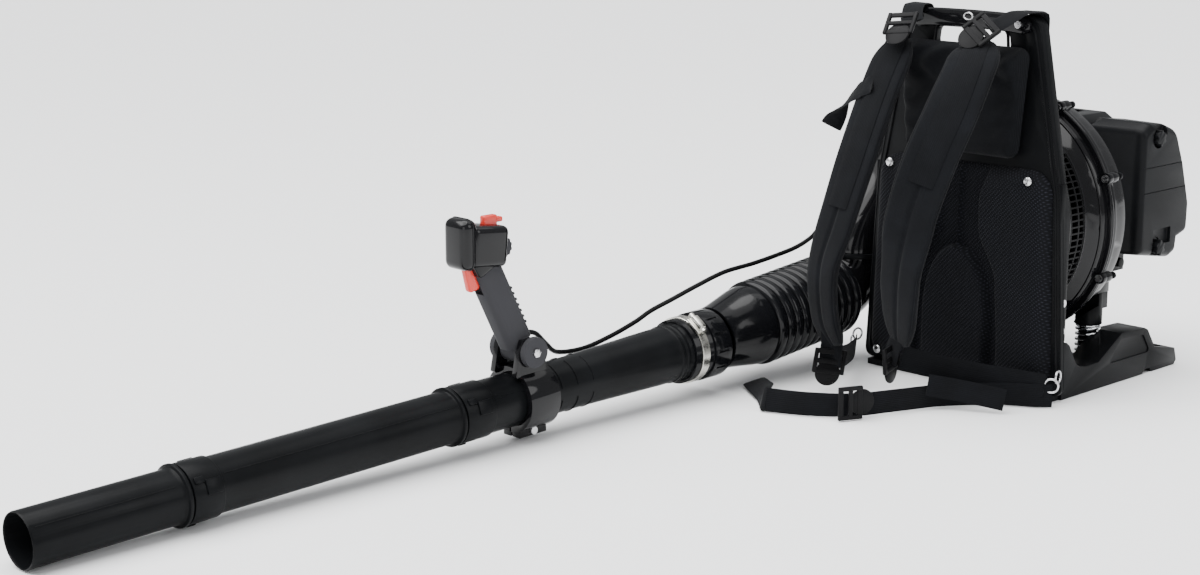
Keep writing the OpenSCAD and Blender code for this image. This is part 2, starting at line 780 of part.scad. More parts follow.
module primer_bulb() {
    color("#c9c4b0") translate([59, crank_y - 15.3, axis_z + 56]) rotate([90, 0, 0]) {
        cylinder(h = 7, r = 7);
        translate([0, 0, 7]) sphere(r = 6.9);
    }
}

module choke_lever() {
    color(black_plastic) {
        translate([59, crank_y + 15.3, axis_z + 72]) rotate([-90, 0, 0]) cylinder(h = 5, r = 5);
        translate([56.5, crank_y + 15.3, axis_z + 74]) cube([5, 5, 26]);
    }
}

// ---------- control handle ----------

clamp_mid = 284;
clamp_half = 24;
lug_low = -48;
module handle_clamp() {
    color(gloss_black) difference() {
        union() {
            tube_piece(clamp_mid - clamp_half, clamp_mid + clamp_half, 42, 33.8);
            on_tube(clamp_mid - 22) translate([-15, lug_low, 0]) cube([30, 14, 44]);
            // ears on each side of the grip
            for (side = [-20, 20]) side_slab(tube_x + side - 4, tube_x + side + 4)
                polygon(rounded([[-646, 86], [-640, 116], [-634, 132], [-606, 132], [-600, 116], [-594, 86]], 3, 3));
        }
        on_tube(clamp_mid - 40) cylinder(h = 120, r = 33.8);
        on_tube(clamp_mid - 40) translate([-1.5, lug_low - 1, 0]) cube([3, 20, 120]);
        on_tube(clamp_mid) translate([-20, lug_low + 6, 0]) rotate([0, 90, 0]) cylinder(h = 40, r = screw_r);
        on_tube(clamp_mid) translate([15, lug_low + 6, 0]) rotate([0, 90, 0]) cylinder(h = 24, r = screw_head_r + 0.4);
        translate([tube_x - 40, pivot_y, pivot_z]) rotate([0, 90, 0]) cylinder(h = 80, r = 4 + fit_gap);
    }
}

module clamp_screw() {
    color(steel) on_tube(clamp_mid) translate([15, lug_low + 6, 0]) rotate([0, 90, 0]) screw(30);
}

trigger_pin = [-684, 240];
stop_pin = [-674, 274];
cruise_pin = [-656, 250];

module grip() {
    color(soft_black) difference() {
        union() {
            translate([tube_x, pivot_y, pivot_z]) {
                rotate([grip_lean, 0, 0]) translate([0, 0, 12]) linear_extrude(grip_len)
                    polygon(rounded([[-14.5, -20], [14.5, -20], [14.5, 20], [-14.5, 20]], 10, 5));
                translate([-15.5, 0, 0]) rotate([0, 90, 0]) cylinder(h = 31, r = 17);
                for (x = [-32.5, 24.5]) translate([x, 0, 0]) rotate([0, 90, 0]) cylinder(h = 8, r = 19);
                translate([-30, 0, 0]) rotate([0, 90, 0]) cylinder(h = 60, r = 4);
            }
            ring_y(tube_x - 8, 132, -616, -599.4, 5.5);
        }
        side_slab(tube_x - 7, tube_x + 7) polygon([[-706, 190], [-676, 194], [-668, 240], [-710, 240]]);
    }
}

module throttle_housing() {
    color(gloss_black) difference() {
        union() {
            side_slab(tube_x - 21, tube_x + 21) polygon(rounded([[-722, 250], [-712, 284], [-688, 292], [-666, 285],
                [-648, 262], [-645, 242], [-658.3, 235.9], [-694.2, 217.8], [-700, 231]],
                [4, 8, 8, 6, 6, 3, 0, 0, 3], 3));
        }
        side_slab(tube_x - 7, tube_x + 7) polygon([[-712, 216], [-676, 216], [-670, 252], [-708, 252]]);
        side_slab(tube_x - 5, tube_x + 5) polygon([[-686, 266], [-640, 265], [-640, 300], [-680, 300]]);
        translate([tube_x - 17.5, cruise_pin[0], cruise_pin[1]]) rotate([0, 90, 0]) cylinder(h = 35, r = 14);
        for (p = [trigger_pin, stop_pin, cruise_pin])
            translate([tube_x - 30, p[0], p[1]]) rotate([0, 90, 0]) cylinder(h = 60, r = 2.5 + fit_gap);
    }
}

module trigger() {
    color(signal_red) union() {
        side_slab(tube_x - 5.5, tube_x + 5.5) polygon([[-689, 246], [-679, 246], [-677, 232], [-684, 206], [-694, 200],
            [-700, 204], [-697, 222], [-693, 236]]);
        translate([tube_x - 20, trigger_pin[0], trigger_pin[1]]) rotate([0, 90, 0]) cylinder(h = 40, r = 2.5);
    }
}

module cruise_lever() {
    color(black_plastic) difference() {
        translate([tube_x, cruise_pin[0], cruise_pin[1]]) rotate([0, 90, 0]) {
            translate([0, 0, -16]) cylinder(h = 32, r = 13);
            translate([0, 0, -20]) cylinder(h = 40, r = 2.5);
        }
        for (k = [0:11]) translate([tube_x - 17, cruise_pin[0] + 14 * cos(k * 30), cruise_pin[1] + 14 * sin(k * 30)])
            rotate([0, 90, 0]) cylinder(h = 34, r = 2.2);
    }
}

module stop_switch() {
    color(signal_red) union() {
        side_slab(tube_x - 4, tube_x + 4) polygon([[-679, 271], [-672, 268], [-655, 268], [-650, 273], [-654, 277], [-668, 281]]);
        translate([tube_x - 20, stop_pin[0], stop_pin[1]]) rotate([0, 90, 0]) cylinder(h = 40, r = 2.5);
    }
}

// ---------- throttle cable, held all the way to the engine ----------

cable_r = 3.2;
cable_front_knots = [[-218, -597.2, 132], [-222, -580, 126], [-234, -552, 106], [-246, -522, 88],
    [-254, -470, 82], [-257, -420, 88], [-258, -370, 100], [-258, -342, 110]];
cable_mid_knots = [[-258, -338, 111], [-254, -300, 122], [-246, -260, 136], [-240, -215, 148], [-238, -162, 152]];
cable_rear_knots = [[-238, -158, 152], [-240, -110, 156], [-246, -60, 160], [-258, -14, 166], [-268, 20, 176],
    [-268, 60, 188], [-250, 112, 190], [-212, 150, 196], [-164, 168, 214], [-122, 180, 264]];

module throttle_cable_front() { color(soft_black) rod(spline(cable_front_knots, 3), cable_r); }
module throttle_cable_mid() { color(soft_black) rod(spline(cable_mid_knots, 3), cable_r); }
module throttle_cable_rear() { color(soft_black) rod(spline(cable_rear_knots, 3), cable_r); }

// ---------- harness ----------

module back_pad() {
    color(soft_black) difference() {
        front_slab(-26, -0.4) polygon(rounded(mirrored([[148, 14], [137, 305]]), [18, 40, 40, 18]));
        front_slab(-27, -10) polygon(rounded(mirrored([[52, 40], [52, 240], [20, 290]]), 14));
    }
}

module yoke_pad() {
    color(soft_black) front_slab(-36, -12) polygon(rounded(mirrored([[88, 318], [104, 440], [70, 466]]), 12));
}

right_strap_knots = [[52, -58, 468], [68, -92, 446], [72, -138, 387], [64, -168, 328], [51, -186, 256],
    [37, -184, 180], [28, -172, 112], [24, -166, 88]];
right_strap_sides = [[1, 0.1, 0], [1, 0.4, 0], [1, 0.7, 0], [1, 0.8, 0], [1, 0.8, 0], [1, 0.7, 0], [1, 0.6, 0], [1, 0.5, 0]];
left_strap_knots = [[-74, -58, 464], [-73, -96, 407], [-71, -142, 325], [-80, -172, 236], [-92, -184, 169],
    [-90, -180, 104], [-80, -170, 66]];
left_strap_sides = [[1, 0, 0], [1, 0, 0], [1, 0, 0], [1, 0.05, 0], [1, 0, 0], [1, 0.1, 0], [1, 0.3, 0]];

module shoulder_straps() {
    color(soft_black) {
        band(spline(right_strap_knots, 2), spline(right_strap_sides, 2), 66, 13);
        band(spline(left_strap_knots, 2), spline(left_strap_sides, 2), 62, 13);
    }
}

web_t = 2;
web_w = 31;
lift_knots = [[62, -48, 488], [74, -34, 498], [84, -16, 508], [90, 0, 510], [92, 14, 509], [92, 19.5, 501],
    [92, 19.5, 480], [92, 19.5, 458]];
right_lower_knots = [[22, -158, 66], [52, -120, 52], [92, -78, 40], [128, -50, 34], [160, -32, 30]];
left_lower_knots = [[-84, -162, 46], [-110, -110, 36], [-136, -60, 32], [-158, -30, 30]];
waist_knots = [[150, -40, 16.5], [112, -66, 16.5], [66, -124, 16.5], [40, -186, 16.5], [14, -246, 16.5],
    [-30, -284, 16.5], [-80, -306, 16.5]];

module webbing() {
    color("#15171b") {
        both_sides() band(spline(lift_knots, 2), [1, 0.05, 0], web_w, web_t);
        band(spline(right_lower_knots, 2), [0, 0.15, 1], web_w, web_t);
        band(spline(left_lower_knots, 2), [0, 0.15, 1], web_w, web_t);
        band(spline(waist_knots, 2), [0, 0, 1], web_w, web_t);
    }
}

// A ladder lock lying in its own XY plane: frame, two bars and a thumb tab.
module ladder_lock() {
    difference() {
        union() {
            translate([-22, -16, 0]) cube([44, 34, 5]);
            translate([0, -16, 0]) cylinder(h = 3, r = 17);
        }
        for (y = [-9, 4]) translate([-16.5, y, -1]) cube([33, 7, 7]);
    }
}

module ladder_locks() {
    color(black_plastic) {
        translate([58, -60, 492]) rotate([52, 0, 14]) ladder_lock();
        translate([-66, -62, 490]) rotate([52, 0, 8]) ladder_lock();
        translate([8, -166, 62]) rotate([90, 0, 30]) ladder_lock();
        translate([-88, -172, 38]) rotate([90, 0, 20]) ladder_lock();
        translate([18, -256, 22.6]) rotate([90, 0, -54]) rotate([0, 0, 90]) translate([0, 0, -2]) ladder_lock();
    }
}

module strap_hooks() {
    color(steel) both_sides() {
        translate([166, -26, 30]) rotate([90, 0, 30]) rotate_extrude($fn = 32) translate([9, 0]) circle(r = 1.5, $fn = 16);
        translate([168, -14, 40]) rotate([0, 90, 10]) rotate_extrude($fn = 32) translate([8, 0]) circle(r = 1.4, $fn = 16);
    }
}

back_frame();
frame_base();
frame_screws();
carry_handle();
isolator_springs();
isolator_mounts();
volute_front();
volute_rear();
inlet_grille();
volute_screws();
outlet_duct();
elbow();
elbow_clamp();
bellows_rear();
bellows_mid();
bellows_front();
clamp_collar();
bellows_clamp();
swivel_pipe();
middle_pipe();
nozzle();
impeller();
crankshaft();
flywheel();
crankcase();
cylinder_part();  // cylinder
piston();
spark_plug();
ignition_coil();
muffler();
carburetor();
primer_bulb();
choke_lever();
air_filter_base();
air_filter_element();
air_filter_cover();
cover_knob(knob_places[0]);  // cover_knob_upper
cover_knob(knob_places[1]);  // cover_knob_lower
starter_housing();
starter_grip();
starter_rope();
fuel_tank();
fuel_cap();
engine_cover();
handle_clamp();
clamp_screw();
grip();
throttle_housing();
trigger();
cruise_lever();
stop_switch();
throttle_cable_front();
throttle_cable_mid();
throttle_cable_rear();
back_pad();
yoke_pad();
shoulder_straps();
webbing();
ladder_locks();
strap_hooks();
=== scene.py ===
"""Looks of a backpack leaf blower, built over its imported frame.

Lengths are in metres, in the frame's own coordinates: +Z up, -Y towards the
wearer and the tip of the tube, +X the side where the air filter stands.
"""
import json
import logging
import math
from collections.abc import Callable, Sequence
from dataclasses import dataclass
from enum import Enum

import bpy
from mathutils import Euler, Matrix, Quaternion, Vector

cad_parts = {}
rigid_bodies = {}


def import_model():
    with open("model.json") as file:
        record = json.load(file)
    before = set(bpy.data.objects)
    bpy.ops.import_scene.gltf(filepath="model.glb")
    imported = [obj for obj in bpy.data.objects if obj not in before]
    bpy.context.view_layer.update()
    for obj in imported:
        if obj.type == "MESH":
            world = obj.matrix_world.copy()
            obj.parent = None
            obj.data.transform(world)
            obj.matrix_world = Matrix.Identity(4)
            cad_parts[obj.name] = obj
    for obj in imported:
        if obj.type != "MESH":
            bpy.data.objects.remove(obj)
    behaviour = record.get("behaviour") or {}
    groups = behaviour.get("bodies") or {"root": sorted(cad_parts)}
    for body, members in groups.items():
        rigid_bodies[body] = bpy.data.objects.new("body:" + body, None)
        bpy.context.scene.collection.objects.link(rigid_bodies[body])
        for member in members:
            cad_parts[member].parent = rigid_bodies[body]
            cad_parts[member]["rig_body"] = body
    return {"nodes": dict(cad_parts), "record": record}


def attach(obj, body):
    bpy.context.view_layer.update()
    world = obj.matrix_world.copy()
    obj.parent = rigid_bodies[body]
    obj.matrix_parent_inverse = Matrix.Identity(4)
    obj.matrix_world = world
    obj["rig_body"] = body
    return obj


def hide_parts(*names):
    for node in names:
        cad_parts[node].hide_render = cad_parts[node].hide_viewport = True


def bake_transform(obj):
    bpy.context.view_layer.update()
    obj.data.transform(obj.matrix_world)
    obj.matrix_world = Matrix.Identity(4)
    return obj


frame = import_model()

Point = tuple[float, float, float]
Colour = tuple[float, float, float]
Piece = bpy.types.Object

log = logging.getLogger("blower")
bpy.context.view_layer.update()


class Body(str, Enum):
    """Rigid bodies of the machine."""

    ROOT = "root"
    COVER = "filter_cover"
    HOSE = "hose"
    TUBE = "tube"
    PIPE = "pipe"
    HANDLE = "handle"


# ---------------------------------------------------------------- finishes


class NodeBench:
    """A new material with short ways to add and join its nodes."""

    def __init__(self, name: str) -> None:
        """Start a material whose surface is one principled shader.

        Args:
            name: name of the material.
        """
        self.material = bpy.data.materials.new(name)
        self.material.use_nodes = True
        self.tree = self.material.node_tree
        self.tree.nodes.clear()
        self.surface = self.add("ShaderNodeBsdfPrincipled")
        out = self.add("ShaderNodeOutputMaterial")
        self.join(self.surface.outputs["BSDF"], out.inputs["Surface"])
        coords = self.add("ShaderNodeTexCoord")
        self.place = coords.outputs["Object"]
        self.uv = coords.outputs["UV"]

    def add(self, kind: str) -> bpy.types.Node:
        """Add one node of a kind and return it."""
        return self.tree.nodes.new(kind)

    def join(self, a: bpy.types.NodeSocket, b: bpy.types.NodeSocket) -> None:
        """Join an output socket to an input socket."""
        self.tree.links.new(a, b)

    def fixed(self, **values: float | Colour) -> None:
        """Set constants on the shader's own sockets.

        Args:
            values: socket names with underscores for spaces, and their values.
        """
        for key, value in values.items():
            socket = self.surface.inputs[key.replace("_", " ")]
            socket.default_value = (*value, 1.0) if isinstance(value, tuple) else value

    def moved(self, source: bpy.types.NodeSocket, scale: Point = (1, 1, 1),
              turn: Point = (0, 0, 0)) -> bpy.types.NodeSocket:
        """Stretch and turn coordinates.

        Args:
            source: coordinates to change.
            scale: stretch along each axis.
            turn: turn about each axis, in degrees.

        Returns:
            The changed coordinates.
        """
        node = self.add("ShaderNodeMapping")
        node.inputs["Scale"].default_value = scale
        node.inputs["Rotation"].default_value = [math.radians(a) for a in turn]
        self.join(source, node.inputs["Vector"])
        return node.outputs["Vector"]

    def noise(self, scale: float, detail: float = 3.0,
              source: bpy.types.NodeSocket | None = None) -> bpy.types.NodeSocket:
        """Add a noise pattern.

        Args:
            scale: spots per metre.
            detail: octaves of finer noise.
            source: coordinates, or None for the object's own.

        Returns:
            The pattern's value.
        """
        node = self.add("ShaderNodeTexNoise")
        node.inputs["Scale"].default_value = scale
        node.inputs["Detail"].default_value = detail
        self.join(source or self.place, node.inputs["Vector"])
        return node.outputs["Fac"]

    def bands(self, pitch: float, source: bpy.types.NodeSocket, direction: str = "X") -> bpy.types.NodeSocket:
        """Add even bands.

        Args:
            pitch: distance from band to band, in metres.
            source: coordinates.
            direction: axis the bands follow each other along.

        Returns:
            The pattern's value.
        """
        node = self.add("ShaderNodeTexWave")
        node.bands_direction = direction
        node.inputs["Scale"].default_value = math.pi / 10.0 / pitch
        self.join(source, node.inputs["Vector"])
        return node.outputs["Fac"]

    def maths(self, how: str, a: bpy.types.NodeSocket,
              b: bpy.types.NodeSocket | float) -> bpy.types.NodeSocket:
        """Combine two values.

        Args:
            how: operation name.
            a: first value.
            b: second value or number.

        Returns:
            The result.
        """
        node = self.add("ShaderNodeMath")
        node.operation = how
        self.join(a, node.inputs[0])
        if isinstance(b, (int, float)):
            node.inputs[1].default_value = b
        else:
            self.join(b, node.inputs[1])
        return node.outputs["Value"]

    def span(self, source: bpy.types.NodeSocket, low: float, high: float, first: float = 0.0,
             last: float = 1.0) -> bpy.types.NodeSocket:
        """Map a value onto a range.

        Args:
            source: value to map.
            low: result at first.
            high: result at last.
            first: lowest value taken in.
            last: highest value taken in.

        Returns:
            The mapped value.
        """
        node = self.add("ShaderNodeMapRange")
        for key, value in (("From Min", first), ("From Max", last), ("To Min", low), ("To Max", high)):
            node.inputs[key].default_value = value
        self.join(source, node.inputs["Value"])
        return node.outputs["Result"]

    def ramp(self, source: bpy.types.NodeSocket,
             stops: Sequence[tuple[float, Colour]]) -> bpy.types.NodeSocket:
        """Turn a value into a colour.

        Args:
            source: value from 0 to 1.
            stops: places and their colours.

        Returns:
            The colour.
        """
        node = self.add("ShaderNodeValToRGB")
        keys = node.color_ramp.elements
        while len(keys) < len(stops):
            keys.new(0.5)
        for key, (at, colour) in zip(keys, stops):
            key.position = at
            key.color = (*colour, 1.0)
        self.join(source, node.inputs["Fac"])
        return node.outputs["Color"]

    def relief(self, height: bpy.types.NodeSocket, depth: float, strength: float = 1.0,
               over: bpy.types.NodeSocket | None = None) -> bpy.types.NodeSocket:
        """Turn heights into a bump.

        Args:
            height: height pattern from 0 to 1.
            depth: height of the pattern in metres.
            strength: strength of the bump.
            over: bump that this one is laid over.

        Returns:
            The bumped normal.
        """
        node = self.add("ShaderNodeBump")
        node.inputs["Strength"].default_value = strength
        node.inputs["Distance"].default_value = depth
        self.join(height, node.inputs["Height"])
        if over is not None:
            self.join(over, node.inputs["Normal"])
        return node.outputs["Normal"]


def shade(colour: Colour, factor: float) -> Colour:
    """Return a colour made lighter or darker by a factor."""
    return tuple(min(1.0, c * factor) for c in colour)


@dataclass(frozen=True)
class Plastic:
    """Moulded plastic or rubber: fine grain, faint clouding and rubbed patches."""

    name: str
    colour: Colour
    roughness: float
    grain: float = 1400.0
    depth: float = 0.00004
    spread: float = 0.35
    coat: float = 0.0
    scuffs: float = 0.0
    shine: float = 0.07

    def make(self) -> bpy.types.Material:
        """Build the material."""
        n = NodeBench(self.name)
        cloud = n.noise(11.0, 5.0)
        n.join(n.ramp(cloud, [(0.3, shade(self.colour, 1 - self.spread)),
                              (0.72, shade(self.colour, 1 + self.spread))]), n.surface.inputs["Base Color"])
        rub = n.noise(34.0, 6.0, n.moved(n.place, (1.0, 0.35, 1.0)))
        rough = n.span(rub, self.roughness - 0.06, self.roughness + 0.1, 0.3, 0.75)
        n.join(rough, n.surface.inputs["Roughness"])
        normal = n.relief(n.noise(self.grain, 2.0), self.depth)
        if self.scuffs:
            scratch = n.noise(60.0, 8.0, n.moved(n.place, (4.0, 0.25, 4.0), (0, 12, 7)))
            normal = n.relief(n.span(scratch, 0.0, 1.0, 0.62, 0.66), self.scuffs, 0.5, normal)
        n.join(normal, n.surface.inputs["Normal"])
        n.fixed(Coat_Weight=self.coat, Coat_Roughness=0.08, Specular_IOR_Level=self.shine)
        return n.material


@dataclass(frozen=True)
class Metal:
    """Bare or plated metal with fine lines and dull spots."""

    name: str
    colour: Colour
    roughness: float
    grain: float = 700.0
    depth: float = 0.00003
    lines: Point = (1.0, 1.0, 1.0)

    def make(self) -> bpy.types.Material:
        """Build the material."""
        n = NodeBench(self.name)
        spots = n.noise(120.0, 4.0)
        n.join(n.ramp(spots, [(0.35, shade(self.colour, 0.9)), (0.65, self.colour)]),
               n.surface.inputs["Base Color"])
        n.join(n.span(spots, self.roughness - 0.05, self.roughness + 0.15, 0.3, 0.8),
               n.surface.inputs["Roughness"])
        n.join(n.relief(n.noise(self.grain, 3.0, n.moved(n.place, self.lines)), self.depth),
               n.surface.inputs["Normal"])
        n.fixed(Metallic=1.0)
        return n.material


@dataclass(frozen=True)
class Cloth:
    """Woven or knitted cloth; the pattern follows the piece's own map or its place."""

    name: str
    colour: Colour
    pitch: tuple[float, float] = (0.0011, 0.0011)
    depth: float = 0.00025
    follows_map: bool = True
    slant: float = 0.0
    sheen: float = 0.25
    contrast: float = 0.55
    lint: float = 0.25

    def make(self) -> bpy.types.Material:
        """Build the material."""
        n = NodeBench(self.name)
        source = n.uv if self.follows_map else n.place
        if self.slant:
            source = n.moved(source, turn=(0, self.slant, 0))
        warp = n.bands(self.pitch[0], source, "X")
        weft = n.bands(self.pitch[1], source, "Y" if self.follows_map else "Z")
        weave = n.maths("MULTIPLY", warp, weft)
        cloud = n.noise(26.0, 6.0)
        both = n.maths("ADD", n.span(weave, -self.contrast, self.contrast), cloud)
        n.join(n.ramp(n.span(both, 0, 1, -0.1, 1.3), [(0.1, shade(self.colour, 0.45)), (0.55, self.colour),
                      (0.95, shade(self.colour, 2.1))]), n.surface.inputs["Base Color"])
        fluff = n.noise(900.0, 3.0)
        normal = n.relief(weave, self.depth, 0.9)
        normal = n.relief(fluff, 0.00012, 0.5, normal)
        normal = n.relief(n.noise(48.0, 4.0), 0.0012 * self.lint, 1.0, normal)
        n.join(normal, n.surface.inputs["Normal"])
        n.join(n.span(cloud, 0.78, 0.98), n.surface.inputs["Roughness"])
        n.fixed(Sheen_Weight=self.sheen, Sheen_Roughness=0.45, Specular_IOR_Level=0.08)
        return n.material


class Finish(Enum):
    """Every finish on the machine."""

    MOULDED = Plastic("moulded_black", (0.0042, 0.0045, 0.0051), 0.34, scuffs=0.00005)
    GLOSSY = Plastic("glossy_black", (0.004, 0.004, 0.0047), 0.13, grain=500.0, depth=0.00001, coat=0.35)
    CAGE = Plastic("cage_black", (0.006, 0.006, 0.0065), 0.32)
    FILTER = Plastic("filter_black", (0.005, 0.0053, 0.006), 0.33, grain=1100.0, depth=0.00006)
    HOSE = Plastic("hose_black", (0.004, 0.0042, 0.005), 0.2, grain=300.0, depth=0.00003, coat=0.25)
    TUBE = Plastic("tube_charcoal", (0.0045, 0.0049, 0.0055), 0.32, grain=800.0, depth=0.00003,
                   scuffs=0.00006)
    GRIP = Plastic("grip_rubber", (0.0038, 0.0038, 0.0042), 0.46, grain=700.0, depth=0.0001)
    CABLE = Plastic("cable_black", (0.006, 0.006, 0.0065), 0.35)
    RED = Plastic("signal_red", (0.075, 0.0006, 0.0004), 0.3, spread=0.1)
    TANK = Plastic("tank_white", (0.55, 0.53, 0.47), 0.42, spread=0.1)
    PRIMER = Plastic("primer_amber", (0.5, 0.4, 0.2), 0.25, spread=0.1)
    CERAMIC = Plastic("plug_white", (0.8, 0.79, 0.75), 0.2, spread=0.05)
    COIL = Plastic("coil_black", (0.02, 0.02, 0.024), 0.5)
    STEEL = Metal("bright_steel", (0.62, 0.62, 0.63), 0.26)
    CHROME = Metal("plated_spring", (0.8, 0.81, 0.83), 0.12, depth=0.00001)
    ZINC = Metal("zinc_band", (0.66, 0.65, 0.6), 0.24, depth=0.000012)
    ALLOY = Metal("cast_alloy", (0.5, 0.51, 0.53), 0.42, grain=900.0, depth=0.00012)
    MESH = Cloth("air_mesh", (0.0075, 0.008, 0.0105), (0.0031, 0.0042), 0.0008, False, 45.0, 0.03, 0.8)
    PADDING = Cloth("pad_cloth", (0.0075, 0.0082, 0.0102), (0.0013, 0.0013), 0.0003, True, 0.0, 0.04)
    YOKE = Cloth("yoke_cloth", (0.006, 0.0066, 0.0082), (0.0013, 0.0013), 0.0003, False, 0.0, 0.03, 0.5, 0.6)
    WEBBING = Cloth("webbing", (0.0062, 0.0067, 0.0082), (0.0022, 0.0012), 0.0002, True, 0.0, 0.04, 0.35, 0.1)
    ROPE = Cloth("rope", (0.55, 0.52, 0.45), (0.002, 0.002), 0.0003, False)
    FOAM = Cloth("filter_foam", (0.16, 0.15, 0.12), (0.0016, 0.0016), 0.0006, False)

    def material(self) -> bpy.types.Material:
        """Return the material that has this finish's name, made here if the file holds none."""
        return bpy.data.materials.get(self.value.name) or self.value.make()


# ---------------------------------------------------------------- bench work


def clear_selection() -> None:
    """Leave edit mode and deselect everything."""
    if bpy.context.object and bpy.context.object.mode != "OBJECT":
        bpy.ops.object.mode_set(mode="OBJECT")
    bpy.ops.object.select_all(action="DESELECT")


def pick(piece: Piece) -> None:
    """Make one piece the only selected and active one."""
    clear_selection()
    piece.select_set(True)
    bpy.context.view_layer.objects.active = piece


def edit_all(piece: Piece, *steps: Callable[[], object]) -> None:
    """Run edit-mode steps on everything in a piece.

    Args:
        piece: piece to edit.
        steps: calls made with everything selected.
    """
    pick(piece)
    bpy.ops.object.mode_set(mode="EDIT")
    for step in steps:
        bpy.ops.mesh.select_all(action="SELECT")
        step()
    bpy.ops.object.mode_set(mode="OBJECT")


def outward() -> None:
    """Turn all selected faces outwards."""
    bpy.ops.mesh.normals_make_consistent(inside=False)


def finish_modifiers(piece: Piece) -> None:
    """Apply every modifier on a piece, in order."""
    pick(piece)
    for modifier in list(piece.modifiers):
        bpy.ops.object.modifier_apply(modifier=modifier.name)


def settle(piece: Piece) -> None:
    """Put a piece's place, turn and size into its mesh."""
    pick(piece)
    bpy.ops.object.transform_apply(location=True, rotation=True, scale=True)


def hand_over(piece: Piece, finish: Finish, body: Body | str | None, slot: str,
              smooth: float = 35.0) -> Piece:
    """Dress a piece and fix it to its body.

    Args:
        piece: finished piece.
        finish: finish to give it.
        body: body it moves with; None for a piece that lies between two bodies and is fixed to neither.
        slot: material slot of the record; not used.
        smooth: edges flatter than this many degrees are shaded smooth.

    Returns:
        The piece.
    """
    pick(piece)
    bpy.ops.object.shade_smooth_by_angle(angle=math.radians(smooth))
    piece.data.materials.clear()
    piece.data.materials.append(finish.material())
    if body is not None:
        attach(piece, body.value if isinstance(body, Body) else body)
    log.info("%s: %d faces", piece.name, len(piece.data.polygons))
    return piece


def body_holding(node: str) -> str:
    """Return the name of the body that a frame node belongs to."""
    return frame["nodes"][node]["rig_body"]


def slot_of(node: str) -> str:
    """Return the material slot of a frame node."""
    return next(s["material_slot"] for s in frame["record"]["subparts"] if s["node"] == node)


def dress(node: str, finish: Finish) -> None:
    """Give a carried-over frame node its finish."""
    piece = frame["nodes"][node]
    for place in piece.material_slots:
        place.material = finish.material()
    if not piece.material_slots:
        piece.data.materials.append(finish.material())


def copied(node: str, name: str) -> Piece:
    """Copy a frame node's mesh into a new piece of its own and return it."""
    piece = bpy.data.objects.new(name, frame["nodes"][node].data.copy())
    bpy.context.scene.collection.objects.link(piece)
    return piece


def eased(node: str, finish: Finish, bevel: float, segments: int = 2, angle: float = 32.0,
          smooth: float = 40.0) -> Piece:
    """Make a copy of a frame node with its sharp edges rounded, and stand it in for the node.

    Args:
        node: frame node.
        finish: finish of the copy.
        bevel: width of the rounding.
        segments: steps in the rounding.
        angle: edges sharper than this are rounded.
        smooth: edges flatter than this are shaded smooth.

    Returns:
        The copy.
    """
    piece = copied(node, f"{node}_eased")
    edit_all(piece, lambda: bpy.ops.mesh.remove_doubles(threshold=0.00001),
             lambda: bpy.ops.mesh.dissolve_limited(angle_limit=math.radians(0.4)))
    edge = piece.modifiers.new("rounding", "BEVEL")
    edge.width = bevel
    edge.segments = segments
    edge.limit_method = "ANGLE"
    edge.angle_limit = math.radians(angle)
    edge.use_clamp_overlap = True
    edge.miter_outer = "MITER_ARC"
    edge.harden_normals = False
    finish_modifiers(piece)
    hand_over(piece, finish, body_holding(node), slot_of(node), smooth)
    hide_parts(node)
    return piece


def turned(name: str, outline: Sequence[tuple[float, float]], foot: Point, axis: Vector,
           steps: int = 72) -> Piece:
    """Spin a closed outline of (radius, distance) points round an axis.

    Args:
        name: name of the piece.
        outline: points of the outline, in order round it.
        foot: where distance is zero on the axis.
        axis: direction of growing distance.
        steps: steps in the full turn.

    Returns:
        The new piece.
    """
    clear_selection()
    bpy.ops.mesh.primitive_circle_add(vertices=len(outline), radius=0.01)
    piece = bpy.context.object
    piece.name = name
    turn = axis.to_track_quat("Z", "Y")
    for vertex, (radius, distance) in zip(piece.data.vertices, outline):
        vertex.co = Vector(foot) + turn @ Vector((radius, 0, distance))
    pick(piece)
    bpy.ops.object.mode_set(mode="EDIT")
    bpy.ops.mesh.select_all(action="SELECT")
    bpy.ops.mesh.spin(steps=steps, angle=math.tau, center=foot, axis=axis, use_auto_merge=False)
    bpy.ops.object.mode_set(mode="OBJECT")
    edit_all(piece, lambda: bpy.ops.mesh.remove_doubles(threshold=0.000005), outward)
    return piece


